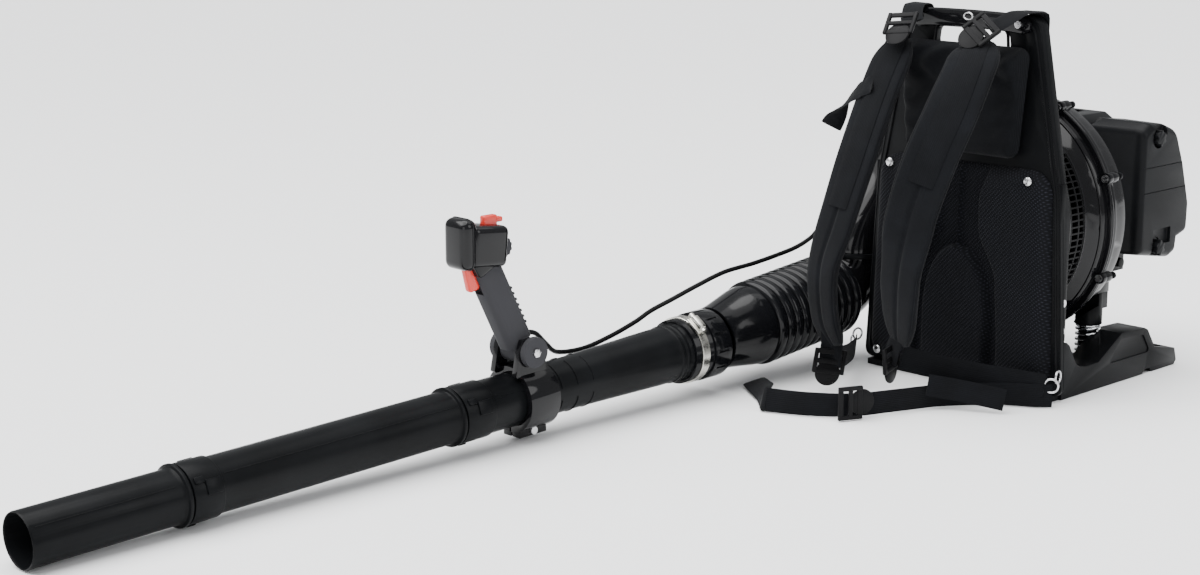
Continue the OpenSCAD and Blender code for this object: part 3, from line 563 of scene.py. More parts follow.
@dataclass
class Route:
    """A smooth line through given knots, with a side direction at each."""

    knots: Sequence[Point]
    sides: Sequence[Point]
    fine: int = 16

    def __post_init__(self) -> None:
        """Trace the line and measure it."""
        k = [Vector(p) for p in self.knots]
        side = [Vector(s) for s in self.sides]
        self.points: list[Vector] = []
        self.across: list[Vector] = []
        for i in range(len(k) - 1):
            a, b, c, d = k[max(i - 1, 0)], k[i], k[i + 1], k[min(i + 2, len(k) - 1)]
            for j in range(self.fine + (i == len(k) - 2)):
                t = j / self.fine
                self.points.append(0.5 * (2 * b + (c - a) * t + (2 * a - 5 * b + 4 * c - d) * t * t
                                          + (3 * b - a - 3 * c + d) * t ** 3))
                self.across.append(side[i].lerp(side[i + 1], t * t * (3 - 2 * t)))
        self.run = [0.0]
        for p, q in zip(self.points, self.points[1:]):
            self.run.append(self.run[-1] + (q - p).length)

    @property
    def length(self) -> float:
        """Length of the line."""
        return self.run[-1]

    def at(self, t: float) -> tuple[Vector, Vector, Vector, Vector]:
        """Find a place on the line.

        Args:
            t: share of the length, from 0 to 1.

        Returns:
            The point, and the unit directions along, across and out of the line.
        """
        want = max(0.0, min(1.0, t)) * self.length
        i = next((n for n in range(1, len(self.run)) if self.run[n] >= want), len(self.run) - 1)
        gap = self.run[i] - self.run[i - 1] or 1.0
        f = (want - self.run[i - 1]) / gap
        lo, hi = max(i - 2, 0), min(i + 1, len(self.points) - 1)
        along = (self.points[hi] - self.points[lo]).normalized()
        across = self.across[i - 1].lerp(self.across[i], f)
        across = (across - along * across.dot(along)).normalized()
        return self.points[i - 1].lerp(self.points[i], f), along, across, across.cross(along).normalized()


def wrapped(name: str, around: int, rows: int, size: tuple[float, float],
            place: Callable[[float, float], Vector]) -> Piece:
    """Wrap a grid into a closed skin whose map is in metres.

    Args:
        name: name of the piece.
        around: faces round the skin.
        rows: faces along it.
        size: girth and length of the map, in metres.
        place: gives the point for a share round and a share along.

    Returns:
        The new piece, closed at both ends.
    """
    clear_selection()
    bpy.ops.mesh.primitive_grid_add(x_subdivisions=around, y_subdivisions=rows, size=2.0)
    piece = bpy.context.object
    piece.name = name
    for vertex in piece.data.vertices:
        vertex.co = place((vertex.co.x + 1) / 2, (vertex.co.y + 1) / 2)
    for loop in piece.data.uv_layers[0].data:
        loop.uv = (loop.uv[0] * size[0], loop.uv[1] * size[1])
    edit_all(piece, lambda: bpy.ops.mesh.remove_doubles(threshold=0.000005),
             lambda: bpy.ops.mesh.fill_holes(sides=0), outward)
    return piece


@dataclass
class Ribbon:
    """A strap, band or web along a route."""

    name: str
    route: Route
    width: float
    thick: float
    square: float = 0.28
    crease: float = 0.0
    around: int = 20
    taper: float = 0.0
    step: float = 0.006
    lead: float = 0.014

    def outline(self, s: float, t: float) -> tuple[float, float]:
        """Return how far across and out the skin stands at a share round it and along it."""
        run = 1 - 4 * s if s < 0.5 else 4 * s - 3
        x = 0.7 * run + 0.3 * math.sin(math.pi / 2 * run)
        power = 2 / self.square
        y = math.copysign(max(0.0, 1 - abs(x) ** power) ** (1 / power), 0.5 - s)
        y *= 1 - self.crease * math.exp(-((x / 0.09) ** 2))
        end = min(t, 1 - t) * self.route.length
        pinch = 1 - self.taper * max(0.0, 1 - end / self.lead) ** 2
        return x * self.width / 2 * pinch, y * self.thick / 2 * pinch

    def build(self) -> Piece:
        """Build the ribbon's mesh."""
        rows = max(6, round(self.route.length / self.step))

        def place(s: float, t: float) -> Vector:
            """Return the skin's point at a share round it and along it."""
            centre, _, across, out = self.route.at(t)
            x, y = self.outline(s, t)
            return centre + across * x + out * y

        return wrapped(self.name, self.around, rows, (self.width * 2, self.route.length), place)


def cord_piece(name: str, points: Sequence[Point], radius: float, closed: bool = False,
               ring: int = 3) -> Piece:
    """Make a round cord or bead along points.

    Args:
        name: name of the piece.
        points: points it passes through.
        radius: radius of the cord.
        closed: whether it joins its own start.
        ring: smoothness round the cord.

    Returns:
        The new piece, as a mesh.
    """
    data = bpy.data.curves.new(name, "CURVE")
    data.dimensions = "3D"
    data.bevel_depth = radius
    data.bevel_resolution = ring
    data.use_fill_caps = not closed
    line = data.splines.new("POLY")
    line.points.add(len(points) - 1)
    for knot, p in zip(line.points, points):
        knot.co = (*p, 1.0)
    line.use_cyclic_u = closed
    piece = bpy.data.objects.new(name, data)
    bpy.context.scene.collection.objects.link(piece)
    pick(piece)
    bpy.ops.object.convert(target="MESH")
    edit_all(piece, lambda: bpy.ops.mesh.remove_doubles(threshold=0.000002), outward)
    return piece


def corner_arc(a: Vector, b: Vector, c: Vector, radius: float, steps: int = 7) -> list[Vector]:
    """Return the points of a rounded corner b between a and c."""
    u, w = (a - b).normalized(), (c - b).normalized()
    half = math.acos(max(-1.0, min(1.0, u.dot(w)))) / 2
    reach = radius / math.tan(half)
    middle = b + (u + w).normalized() * radius / math.sin(half)
    p, q = b + u * reach - middle, b + w * reach - middle
    return [middle + p.normalized().slerp(q.normalized(), i / steps) * radius for i in range(steps + 1)]


def soft_loop(points: Sequence[Point], radii: Sequence[float] | float, steps: int = 7) -> list[Point]:
    """Round every corner of a closed loop.

    Args:
        points: corners of the loop.
        radii: one radius, or one for each corner.
        steps: steps in each rounding.

    Returns:
        The rounded loop.
    """
    v = [Vector(p) for p in points]
    n = len(v)
    r = [radii] * n if isinstance(radii, (int, float)) else list(radii)
    return [tuple(q) for i in range(n) for q in corner_arc(v[i - 1], v[i], v[(i + 1) % n], r[i], steps)]


def leaning(degrees: float) -> Quaternion:
    """Return a turn about the sideways axis."""
    return Quaternion((1, 0, 0), math.radians(degrees))


def block(name: str, low: Point, high: Point, bevel: float, segments: int = 3,
          tilt: Quaternion | None = None) -> Piece:
    """Make a block with rounded edges.

    Args:
        name: name of the piece.
        low: lowest corner.
        high: highest corner.
        bevel: rounding of its edges.
        segments: steps in the rounding.
        tilt: turn about the block's own middle.

    Returns:
        The new piece.
    """
    clear_selection()
    lo, hi = Vector(low), Vector(high)
    bpy.ops.mesh.primitive_cube_add(size=1.0, location=(lo + hi) / 2)
    piece = bpy.context.object
    piece.name = name
    piece.scale = hi - lo
    if tilt is not None:
        piece.rotation_mode = "QUATERNION"
        piece.rotation_quaternion = tilt
    settle(piece)
    edit_all(piece, lambda: bpy.ops.mesh.bevel(offset=bevel, segments=segments, affect="EDGES"))
    return piece


def merged(name: str, pieces: Sequence[Piece]) -> Piece:
    """Join pieces into one."""
    clear_selection()
    for piece in pieces:
        piece.select_set(True)
    bpy.context.view_layer.objects.active = pieces[0]
    bpy.ops.object.join()
    pieces[0].name = name
    return pieces[0]


# ---------------------------------------------------------------- the room


@dataclass
class Studio:
    """Pale floor, soft light and the camera."""

    camera_place: Point = (1.6927, -2.3181, 0.753)
    heading: float = 46.0
    dip: float = 12.4
    lens: float = 64.02
    lamps: Sequence[tuple[str, Point, Point, float, float]] = (
        ("key", (-1.4, -2.6, 2.6), (-0.1, -0.4, 0.1), 2.6, 45.0),
        ("side", (2.6, 0.4, 1.7), (0.0, 0.0, 0.25), 1.8, 30.0),
        ("over", (0.2, 0.9, 3.0), (0.0, 0.0, 0.2), 2.4, 20.0),
        ("low", (1.2, -3.4, 0.9), (-0.1, -0.6, 0.15), 1.6, 14.0),
    )

    def floor(self) -> None:
        """Lay a wide plain floor under the machine."""
        clear_selection()
        bpy.ops.mesh.primitive_plane_add(size=80.0, location=(0, 0, -0.0006))
        floor = bpy.context.object
        floor.name = "floor"
        n = NodeBench("floor_white")
        n.fixed(Base_Color=(0.93, 0.935, 0.94), Roughness=0.55)
        floor.data.materials.append(n.material)

    def light(self) -> None:
        """Hang the lamps and set the soft light all round."""
        world = bpy.data.worlds.new("soft_room")
        world.use_nodes = True
        world.node_tree.nodes["Background"].inputs["Color"].default_value = (0.97, 0.985, 1.0, 1.0)
        world.node_tree.nodes["Background"].inputs["Strength"].default_value = 0.6
        bpy.context.scene.world = world
        for name, place, aim, size, power in self.lamps:
            data = bpy.data.lights.new(name, "AREA")
            data.shape = "DISK"
            data.size = size
            data.energy = power
            lamp = bpy.data.objects.new(name, data)
            bpy.context.scene.collection.objects.link(lamp)
            lamp.location = place
            lamp.rotation_mode = "QUATERNION"
            lamp.rotation_quaternion = (Vector(aim) - Vector(place)).to_track_quat("-Z", "Y")

        data = bpy.data.lights.new("ceiling", "SUN")
        data.energy = 6.4
        data.angle = math.radians(75)
        lamp = bpy.data.objects.new("ceiling", data)
        lamp.rotation_euler = Euler((math.radians(14), math.radians(-10), 0))
        bpy.context.scene.collection.objects.link(lamp)

    def camera(self) -> None:
        """Stand the camera in front, to the right of the machine."""
        data = bpy.data.cameras.new("camera")
        data.lens = self.lens
        data.sensor_width = 36.0
        data.clip_end = 100.0
        camera = bpy.data.objects.new("camera", data)
        bpy.context.scene.collection.objects.link(camera)
        camera.location = self.camera_place
        camera.rotation_euler = Euler((math.radians(90 - self.dip), 0, math.radians(self.heading)))
        bpy.context.scene.camera = camera

    def build(self) -> None:
        """Set up the whole room."""
        self.floor()
        self.light()
        self.camera()


# ---------------------------------------------------------------- frame and base


@dataclass
class BackFrame:
    """Upright frame with its rim beads, handle, base, screws and springs."""

    half_low: float = 0.165
    half_top: float = 0.107
    foot: float = 0.0082
    top: float = 0.504
    coil_radius: float = 0.0154
    coil_turns: int = 9
    wire: float = 0.0019
    turn_steps: int = 28

    def rim_loop(self, inset: float, depth: float) -> list[Point]:
        """Return the frame's outline, moved in by inset, at a depth."""
        right = [(self.half_low - inset, depth, self.foot + inset), (0.150 - inset, depth, 0.276),
                 (self.half_top - inset, depth, self.top - inset)]
        loop = right + [(-x, y, z) for x, y, z in reversed(right)]
        return soft_loop(loop, [0.012, 0.06, 0.022, 0.022, 0.06, 0.012])

    def beads(self) -> None:
        """Lay the raised beads round the frame's rim."""
        front = cord_piece("rim_bead_front", self.rim_loop(0.0085, -0.0002), 0.0018, True)
        lip = cord_piece("rim_bead_lip", self.rim_loop(0.0015, 0.0008), 0.0016, True)
        side = cord_piece("rim_bead_side", self.rim_loop(0.0008, 0.0058), 0.0014, True)
        hand_over(merged("rim_beads", [front, lip, side]), Finish.MOULDED, Body.ROOT, "frame_plastic")
        slot = [(0.060, 0.0, 0.450), (0.057, 0.0, 0.4855)]
        loop = soft_loop(slot + [(-x, y, z) for x, y, z in reversed(slot)], 0.011)
        hand_over(cord_piece("slot_bead", loop, 0.0022, True), Finish.MOULDED, Body.ROOT, "frame_plastic")

    def handle(self) -> None:
        """Model the rounded carrying grip over the hand slot."""
        knots = [(x, -0.0046, z) for x,
                 z in ((-0.0955, 0.4905), (-0.05, 0.4945), (0.05, 0.4945), (0.0955, 0.4905))]
        bar = Ribbon("carry_grip", Route(knots, [(0, 0, 1)] * 4), 0.0245, 0.0088, 0.6, taper=0.5)
        piece = bar.build()
        hand_over(piece, Finish.GLOSSY, Body.ROOT, "gloss_plastic")
        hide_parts("carry_handle")
        turns = [k * math.tau / 20 for k in range(20)]
        ring = [(0.007 * math.cos(a), -0.009, 0.4985 + 0.0045 * math.sin(a)) for a in turns]
        eye = cord_piece("top_eye", ring, 0.0011, True)
        hand_over(eye, Finish.STEEL, Body.ROOT, "screw_steel")

    def pad_buttons(self) -> None:
        """Set the domed buttons that hold the back pad."""
        made = []
        for x, z in ((0.113, 0.293), (-0.113, 0.293), (0.126, 0.027), (-0.126, 0.027)):
            clear_selection()
            bpy.ops.mesh.primitive_uv_sphere_add(segments=24, ring_count=12, radius=0.0062,
                                                 location=(x, -0.0222, z))
            button = bpy.context.object
            button.scale = (1, 0.5, 1)
            settle(button)
            made.append(button)
        hand_over(merged("pad_buttons", made), Finish.STEEL, Body.ROOT, "screw_steel", 60)

    def springs(self) -> None:
        """Wind the two isolator springs."""
        coils = []
        for side in (-1, 1):
            points = []
            steps = self.turn_steps * self.coil_turns
            for k in range(steps + 1):
                turn = math.tau * k / self.turn_steps
                flat = min(1.0, max(0.0, (k / self.turn_steps - 0.6) / (self.coil_turns - 1.2)))
                points.append((side * (0.1 + self.coil_radius * math.cos(turn)),
                               0.155 + self.coil_radius * math.sin(turn), 0.0140 + 0.0582 * flat))
            coils.append(cord_piece("coil", points, self.wire))
        piece = merged("isolator_coils", coils)
        hand_over(piece, Finish.CHROME, Body.ROOT, "spring_steel", 60)
        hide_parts("isolator_springs")

    def build(self) -> None:
        """Build every piece of the frame."""
        eased("back_frame", Finish.MOULDED, 0.0012, 2)
        eased("frame_base", Finish.MOULDED, 0.0022, 3)
        eased("isolator_mounts", Finish.MOULDED, 0.0012, 2)
        dress("frame_screws", Finish.STEEL)
        self.beads()
        self.handle()
        self.pad_buttons()
        self.springs()


# ---------------------------------------------------------------- fan housing and engine


@dataclass
class FanHousing:
    """Fan housing with its inlet cage, seam bead and air duct."""

    axis_height: float = 0.225
    flange: float = 0.171
    pin_circle: float = 0.1725
    seam_steps: int = 120

    def seam(self) -> None:
        """Lay the bead round the seam between the two halves."""
        loops = []
        for radius, y, size in ((self.flange - 0.0006, 0.0935, 0.0016), (0.1625, 0.0775, 0.0012)):
            turns = [k * math.tau / self.seam_steps for k in range(self.seam_steps)]
            ring = [(radius * math.cos(a), y, self.axis_height + radius * math.sin(a)) for a in turns]
            loops.append(cord_piece("seam", ring, size, True))
        hand_over(merged("seam_bead", loops), Finish.GLOSSY, Body.ROOT, "gloss_plastic", 60)

    def duct(self) -> None:
        """Smooth the duct that carries the air down to the elbow."""
        piece = copied("outlet_duct", "duct_smooth")
        edit_all(piece, lambda: bpy.ops.mesh.remove_doubles(threshold=0.00001),
                 lambda: bpy.ops.mesh.tris_convert_to_quads(face_threshold=math.radians(60),
                                                            shape_threshold=math.radians(60)))
        rounder = piece.modifiers.new("rounder", "SUBSURF")
        rounder.levels = rounder.render_levels = 2
        finish_modifiers(piece)
        hand_over(piece, Finish.GLOSSY, Body.ROOT, "gloss_plastic", 60)
        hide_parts("outlet_duct")

    def pins(self) -> None:
        """Set the pins that stand out behind the bosses of the flange."""
        made = []
        for angle in (-64, -24, 22, 62, 112):
            a = math.radians(angle)
            for depth, radius, length in ((0.112, 0.0036, 0.020), (0.119, 0.0048, 0.005)):
                clear_selection()
                place = (self.pin_circle * math.cos(a), depth,
                         self.axis_height + self.pin_circle * math.sin(a))
                bpy.ops.mesh.primitive_cylinder_add(vertices=24, radius=radius, depth=length, location=place,
                                                    rotation=(math.radians(90), 0, 0))
                pin = bpy.context.object
                settle(pin)
                edit_all(pin, lambda: bpy.ops.mesh.bevel(offset=0.0006, segments=2, affect="EDGES"))
                made.append(pin)
        hand_over(merged("boss_pins", made), Finish.MOULDED, Body.ROOT, "gloss_plastic")

    def build(self) -> None:
        """Build the housing and the engine behind it."""
        eased("volute_front", Finish.GLOSSY, 0.001, 2, 28, 30)
        eased("volute_rear", Finish.GLOSSY, 0.001, 2, 28, 30)
        self.seam()
        self.pins()
        self.duct()
        dress("elbow", Finish.GLOSSY)
        eased("elbow_clamp", Finish.MOULDED, 0.0008)
        for node, finish in {
            "inlet_grille": Finish.CAGE, "volute_screws": Finish.STEEL, "impeller": Finish.CAGE,
            "crankshaft": Finish.STEEL, "flywheel": Finish.ALLOY, "crankcase": Finish.ALLOY,
            "cylinder": Finish.ALLOY, "piston": Finish.STEEL, "spark_plug": Finish.CERAMIC,
            "ignition_coil": Finish.COIL, "muffler": Finish.STEEL, "carburetor": Finish.ALLOY,
            "primer_bulb": Finish.PRIMER, "starter_rope": Finish.ROPE, "air_filter_element": Finish.FOAM,
        }.items():
            dress(node, finish)
        for node, finish, bevel in (
            ("choke_lever", Finish.MOULDED, 0.0006), ("starter_housing", Finish.MOULDED, 0.002),
            ("starter_grip", Finish.MOULDED, 0.0015), ("fuel_tank", Finish.TANK, 0.004),
            ("fuel_cap", Finish.MOULDED, 0.001), ("engine_cover", Finish.MOULDED, 0.0016),
            ("air_filter_base", Finish.FILTER, 0.0014),
        ):
            eased(node, finish, bevel, 3)


@dataclass
class AirFilterCover:
    """Soft-edged cover of the air cleaner, with its band, pocket and knobs."""

    inner: float = 0.0812
    shoulder: float = 0.128
    face: float = 0.1426
    deep: Sequence[tuple[float, float]] = (
        (0.163, 0.170), (0.290, 0.152), (0.303, 0.157), (0.306, 0.177), (0.333, 0.184), (0.334, 0.224),
        (0.313, 0.286), (0.291, 0.333), (0.262, 0.344), (0.198, 0.352), (0.163, 0.345))
    near: Sequence[tuple[float, float]] = (
        (0.206, 0.166), (0.290, 0.152), (0.303, 0.157), (0.306, 0.177), (0.333, 0.184), (0.334, 0.224),
        (0.313, 0.286), (0.291, 0.333), (0.264, 0.343), (0.224, 0.348), (0.206, 0.338))
    radii: Sequence[float] = (0.01, 0.006, 0.004, 0.003, 0.008, 0.02, 0.04, 0.02, 0.03, 0.012, 0.01)
    middle: tuple[float, float] = (0.258, 0.252)
    half: tuple[float, float] = (0.075, 0.092)

    def loop(self, share: float, inset: float, x: float) -> list[Point]:
        """Return the outline at a height over the base.

        Args:
            share: 0 at the base, 1 at the shoulder.
            inset: how far the outline is drawn towards its middle.
            x: sideways place.

        Returns:
            Points of the outline.
        """
        corners = [(x, a[0] + (b[0] - a[0]) * share, a[1] + (b[1] - a[1]) * share)
                   for a, b in zip(self.deep, self.near)]
        ring = soft_loop(corners, self.radii, 5)
        middle_y, middle_z = self.middle
        half_y, half_z = self.half
        return [(x, p[1] + (middle_y - p[1]) * inset / half_y, p[2] + (middle_z - p[2]) * inset / half_z)
                for p in ring]

    def shell(self) -> Piece:
        """Model the cover by stacking and bridging its outlines."""
        heights = [(0.0, 0.0, self.inner), (0.5, 0.0, (self.inner + self.shoulder) / 2),
                   (0.96, 0.0, self.shoulder - 0.002)]
        lift, draw = self.face - self.shoulder, 0.011
        for k in range(1, 9):
            a = math.radians(90 * k / 8)
            heights.append((1.0, draw * (1 - math.cos(a)), self.shoulder + lift * math.sin(a)))
        rings = []
        for share, inset, x in heights:
            ring = self.loop(share, inset, x)
            clear_selection()
            bpy.ops.mesh.primitive_circle_add(vertices=len(ring), radius=0.01)
            piece = bpy.context.object
            for vertex, p in zip(piece.data.vertices, ring):
                vertex.co = p
            rings.append(piece)
        cover = merged("cover_shell", rings)
        edit_all(cover, lambda: bpy.ops.mesh.bridge_edge_loops(), lambda: bpy.ops.mesh.fill_holes(sides=0),
                 outward)
        return cover

    def carve(self, cover: Piece) -> None:
        """Cut the knob seats, the pocket and the two band lines into the cover."""
        cutters = []
        for y, z in ((0.242, 0.326), (0.254, 0.172)):
            clear_selection()
            bpy.ops.mesh.primitive_cylinder_add(vertices=40, radius=0.0145, depth=0.03, location=(0.15, y, z),
                                                rotation=(0, math.radians(90), 0))
            seat = bpy.context.object
            settle(seat)
            cutters.append(seat)
        cutters.append(block("seat_mouth", (0.134, 0.2395, 0.328), (0.16, 0.262, 0.37), 0.002))
        cutters.append(block("pocket", (0.1365, 0.240, 0.176), (0.16, 0.284, 0.198), 0.002))
        for z in (0.2515, 0.2865):
            cutters.append(block("line", (0.1412, 0.19, z - 0.0006), (0.16, 0.34, z + 0.0006), 0.0003, 1))
        for tool in cutters:
            cut = cover.modifiers.new("cut", "BOOLEAN")
            cut.operation = "DIFFERENCE"
            cut.solver = "EXACT"
            cut.object = tool
        finish_modifiers(cover)
        for tool in cutters:
            bpy.data.objects.remove(tool)

    def build(self) -> None:
        """Build the cover and its knobs."""
        cover = self.shell()
        self.carve(cover)
        hand_over(cover, Finish.FILTER, Body.COVER, "cover_plastic", 38)
        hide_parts("air_filter_cover")
        eased("cover_knob_upper", Finish.FILTER, 0.001)
        eased("cover_knob_lower", Finish.FILTER, 0.001)


# ---------------------------------------------------------------- hose and tube


@dataclass
class Hose:
    """Ribbed rubber hose between the elbow and the blow tube."""

    mouth: Point = (-0.21, -0.024, 0.094)
    drop: float = 5.8
    pitch: float = 0.0156
    crest: float = 0.059
    valley: float = 0.052
    wall: float = 0.003
    ribs: int = 11

    @property
    def axis(self) -> Vector:
        """Direction of the hose away from the elbow."""
        a = math.radians(self.drop)
        return Vector((0, -math.cos(a), -math.sin(a)))

    def rib_line(self, first: int, count: int) -> list[tuple[float, float]]:
        """Return the rounded outline of a run of ribs."""
        line = []
        for k in range(first, first + count):
            for j in range(12):
                t = j / 12
                swell = max(0.0, 1 - abs(2 * t - 1) ** 2.8) ** 0.55
                line.append((self.valley + (self.crest - self.valley) * swell, (k + t) * self.pitch))
        return line

    def build(self) -> None:
        """Spin the two halves of the hose, which meet at its middle."""
        split = 6
        inner = self.valley - self.wall
        rear = [(0.0455, -0.0038), (0.0488, -0.0038), (0.0502, -0.0012)] + self.rib_line(0, split)
        rear += [(self.valley, split * self.pitch - 0.0001), (inner, split * self.pitch - 0.0001),
                 (inner, 0.0012), (0.0455, 0.0)]
        piece = turned("hose_rear", rear, self.mouth, self.axis, 80)
        hand_over(piece, Finish.HOSE, None, "bellows_rubber", 70)
        self.on_axis(0.004)
        self.on_axis(0.09)
        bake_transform(piece)
        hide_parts("bellows_rear")
        end = self.ribs * self.pitch
        front = [(inner, split * self.pitch + 0.0001)] + self.rib_line(split, self.ribs - split)
        front += [(self.valley, end), (self.valley + 0.0028, end + 0.002),
                  (self.valley + 0.0032, end + 0.006), (self.valley + 0.0015, end + 0.018),
                  (self.valley - 0.0015, end + 0.032), (0.0462, 0.226), (0.0438, 0.2405), (0.0434, 0.248),
                  (0.0402, 0.248), (0.0425, 0.226), (inner - 0.002, end + 0.03), (inner, end)]
        piece = turned("hose_front", front, self.mouth, self.axis, 80)
        hand_over(piece, Finish.HOSE, None, "bellows_rubber", 70)
        self.on_axis(0.1)
        self.on_axis(0.165)
        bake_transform(piece)
        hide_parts("bellows_mid", "bellows_front")

    def on_axis(self, along: float) -> tuple[float, float, float]:
        """Return the point on the hose's axis at a distance from the elbow."""
        return tuple(Vector(self.mouth) + self.axis * along)


@dataclass
class BlowTube:
    """Straight tubes with their collars, tabs, ribs and clamp."""

    root: Point = (-0.21, -0.328, 0.064)
    drop: float = 1.84
    bead: float = 0.0006

    @property
    def axis(self) -> Vector:
        """Direction of the tube towards its tip."""
        a = math.radians(self.drop)
        return Vector((0, -math.cos(a), -math.sin(a)))

    def on_skin(self, along: float, angle: float, radius: float) -> Vector:
        """Return a point at a distance along the tube, an angle up from +X and a radius."""
        a = math.radians(angle)
        up = Vector((1, 0, 0)).cross(self.axis)
        up = -up if up.z < 0 else up
        return Vector(self.root) + self.axis * along + radius * (Vector((math.cos(a), 0, 0)) + up
                                                                 * math.sin(a))

    def tab(self, along: float, angle: float, radius: float, size: Point) -> Piece:
        """Make one raised tab on the tube's skin.

        Args:
            along: distance of its middle along the tube.
            angle: angle up from +X, in degrees.
            radius: radius of its middle.
            size: width round the tube, length along it and height off it.

        Returns:
            The tab.
        """
        tab = block("tab", tuple(-v / 2 for v in size), tuple(v / 2 for v in size), min(size) * 0.3, 2)
        out = (self.on_skin(along, angle, radius) - self.on_skin(along, angle, 0)).normalized()
        side = out.cross(self.axis).normalized()
        turn = Matrix((side, self.axis, out)).transposed().to_4x4()
        tab.data.transform(Matrix.Translation(self.on_skin(along, angle, radius)) @ turn)
        return tab

    def tabs(self) -> None:
        """Set the bayonet tabs, the stops and the index marks."""
        made = []
        for along, radius in ((0.762, 0.0352), (0.376, 0.0360)):
            for angle in (20, 140, 260):
                made.append(self.tab(along, angle, radius, (0.017, 0.019, 0.0028)))
                made.append(self.tab(along + 0.016, angle + 16, radius + 0.0002, (0.008, 0.012, 0.0036)))
        for along in (0.195, 0.222, 0.249):
            for first in (12, 100, 190, 280):
                arc = [tuple(self.on_skin(along, first + 5 * k, 0.0340)) for k in range(14)]
                made.append(cord_piece("arc", arc, self.bead))
        hand_over(merged("tube_tabs", made), Finish.TUBE, Body.PIPE, "pipe_plastic")

    def seams(self) -> None:
        """Lay two fine raised ribs along the nozzle and two along the middle tube."""
        made = []
        for angle, start, end, radius in ((38, 0.805, 0.972, 0.0315), (152, 0.805, 0.972, 0.0315),
                                          (38, 0.416, 0.744, 0.0325), (200, 0.416, 0.744, 0.0325)):
            rib = [tuple(self.on_skin(start + (end - start) * k / 6, angle, radius)) for k in range(7)]
            made.append(cord_piece("rib", rib, self.bead))
        hand_over(merged("tube_ribs", made), Finish.TUBE, Body.PIPE, "pipe_plastic", 60)

    def clamp(self) -> None:
        """Model the band clamp's worm, its barrel and its housing."""
        barrel = self.tab(0.001, 54, 0.0515, (0.022, 0.011, 0.009))
        housing = self.tab(0.001, 54, 0.0465, (0.026, 0.0155, 0.0026))
        start, end = self.on_skin(0.001, 38, 0.0515), self.on_skin(0.001, 72, 0.053)
        worm = cord_piece("worm", [tuple(start.lerp(end, k / 4)) for k in range(5)], 0.0042)
        hand_over(merged("clamp_worm", [barrel, housing, worm]), Finish.ZINC, Body.TUBE, "zinc_steel")

    def build(self) -> None:
        """Build the tubes."""
        for node, bevel in (("swivel_pipe", 0.0007), ("middle_pipe", 0.0006), ("nozzle", 0.0006)):
            eased(node, Finish.TUBE, bevel, 2, 25, 40)
        eased("clamp_collar", Finish.HOSE, 0.0012)
        band = turned("band", [(0.0431, -0.0066), (0.0446, -0.0066), (0.0450, -0.0062), (0.0450, 0.0062),
                               (0.0446, 0.0066), (0.0431, 0.0066)], self.root, self.axis, 96)
        hand_over(band, Finish.ZINC, Body.TUBE, "zinc_steel", 30)
        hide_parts("bellows_clamp")
        self.tabs()
        self.seams()
        self.clamp()


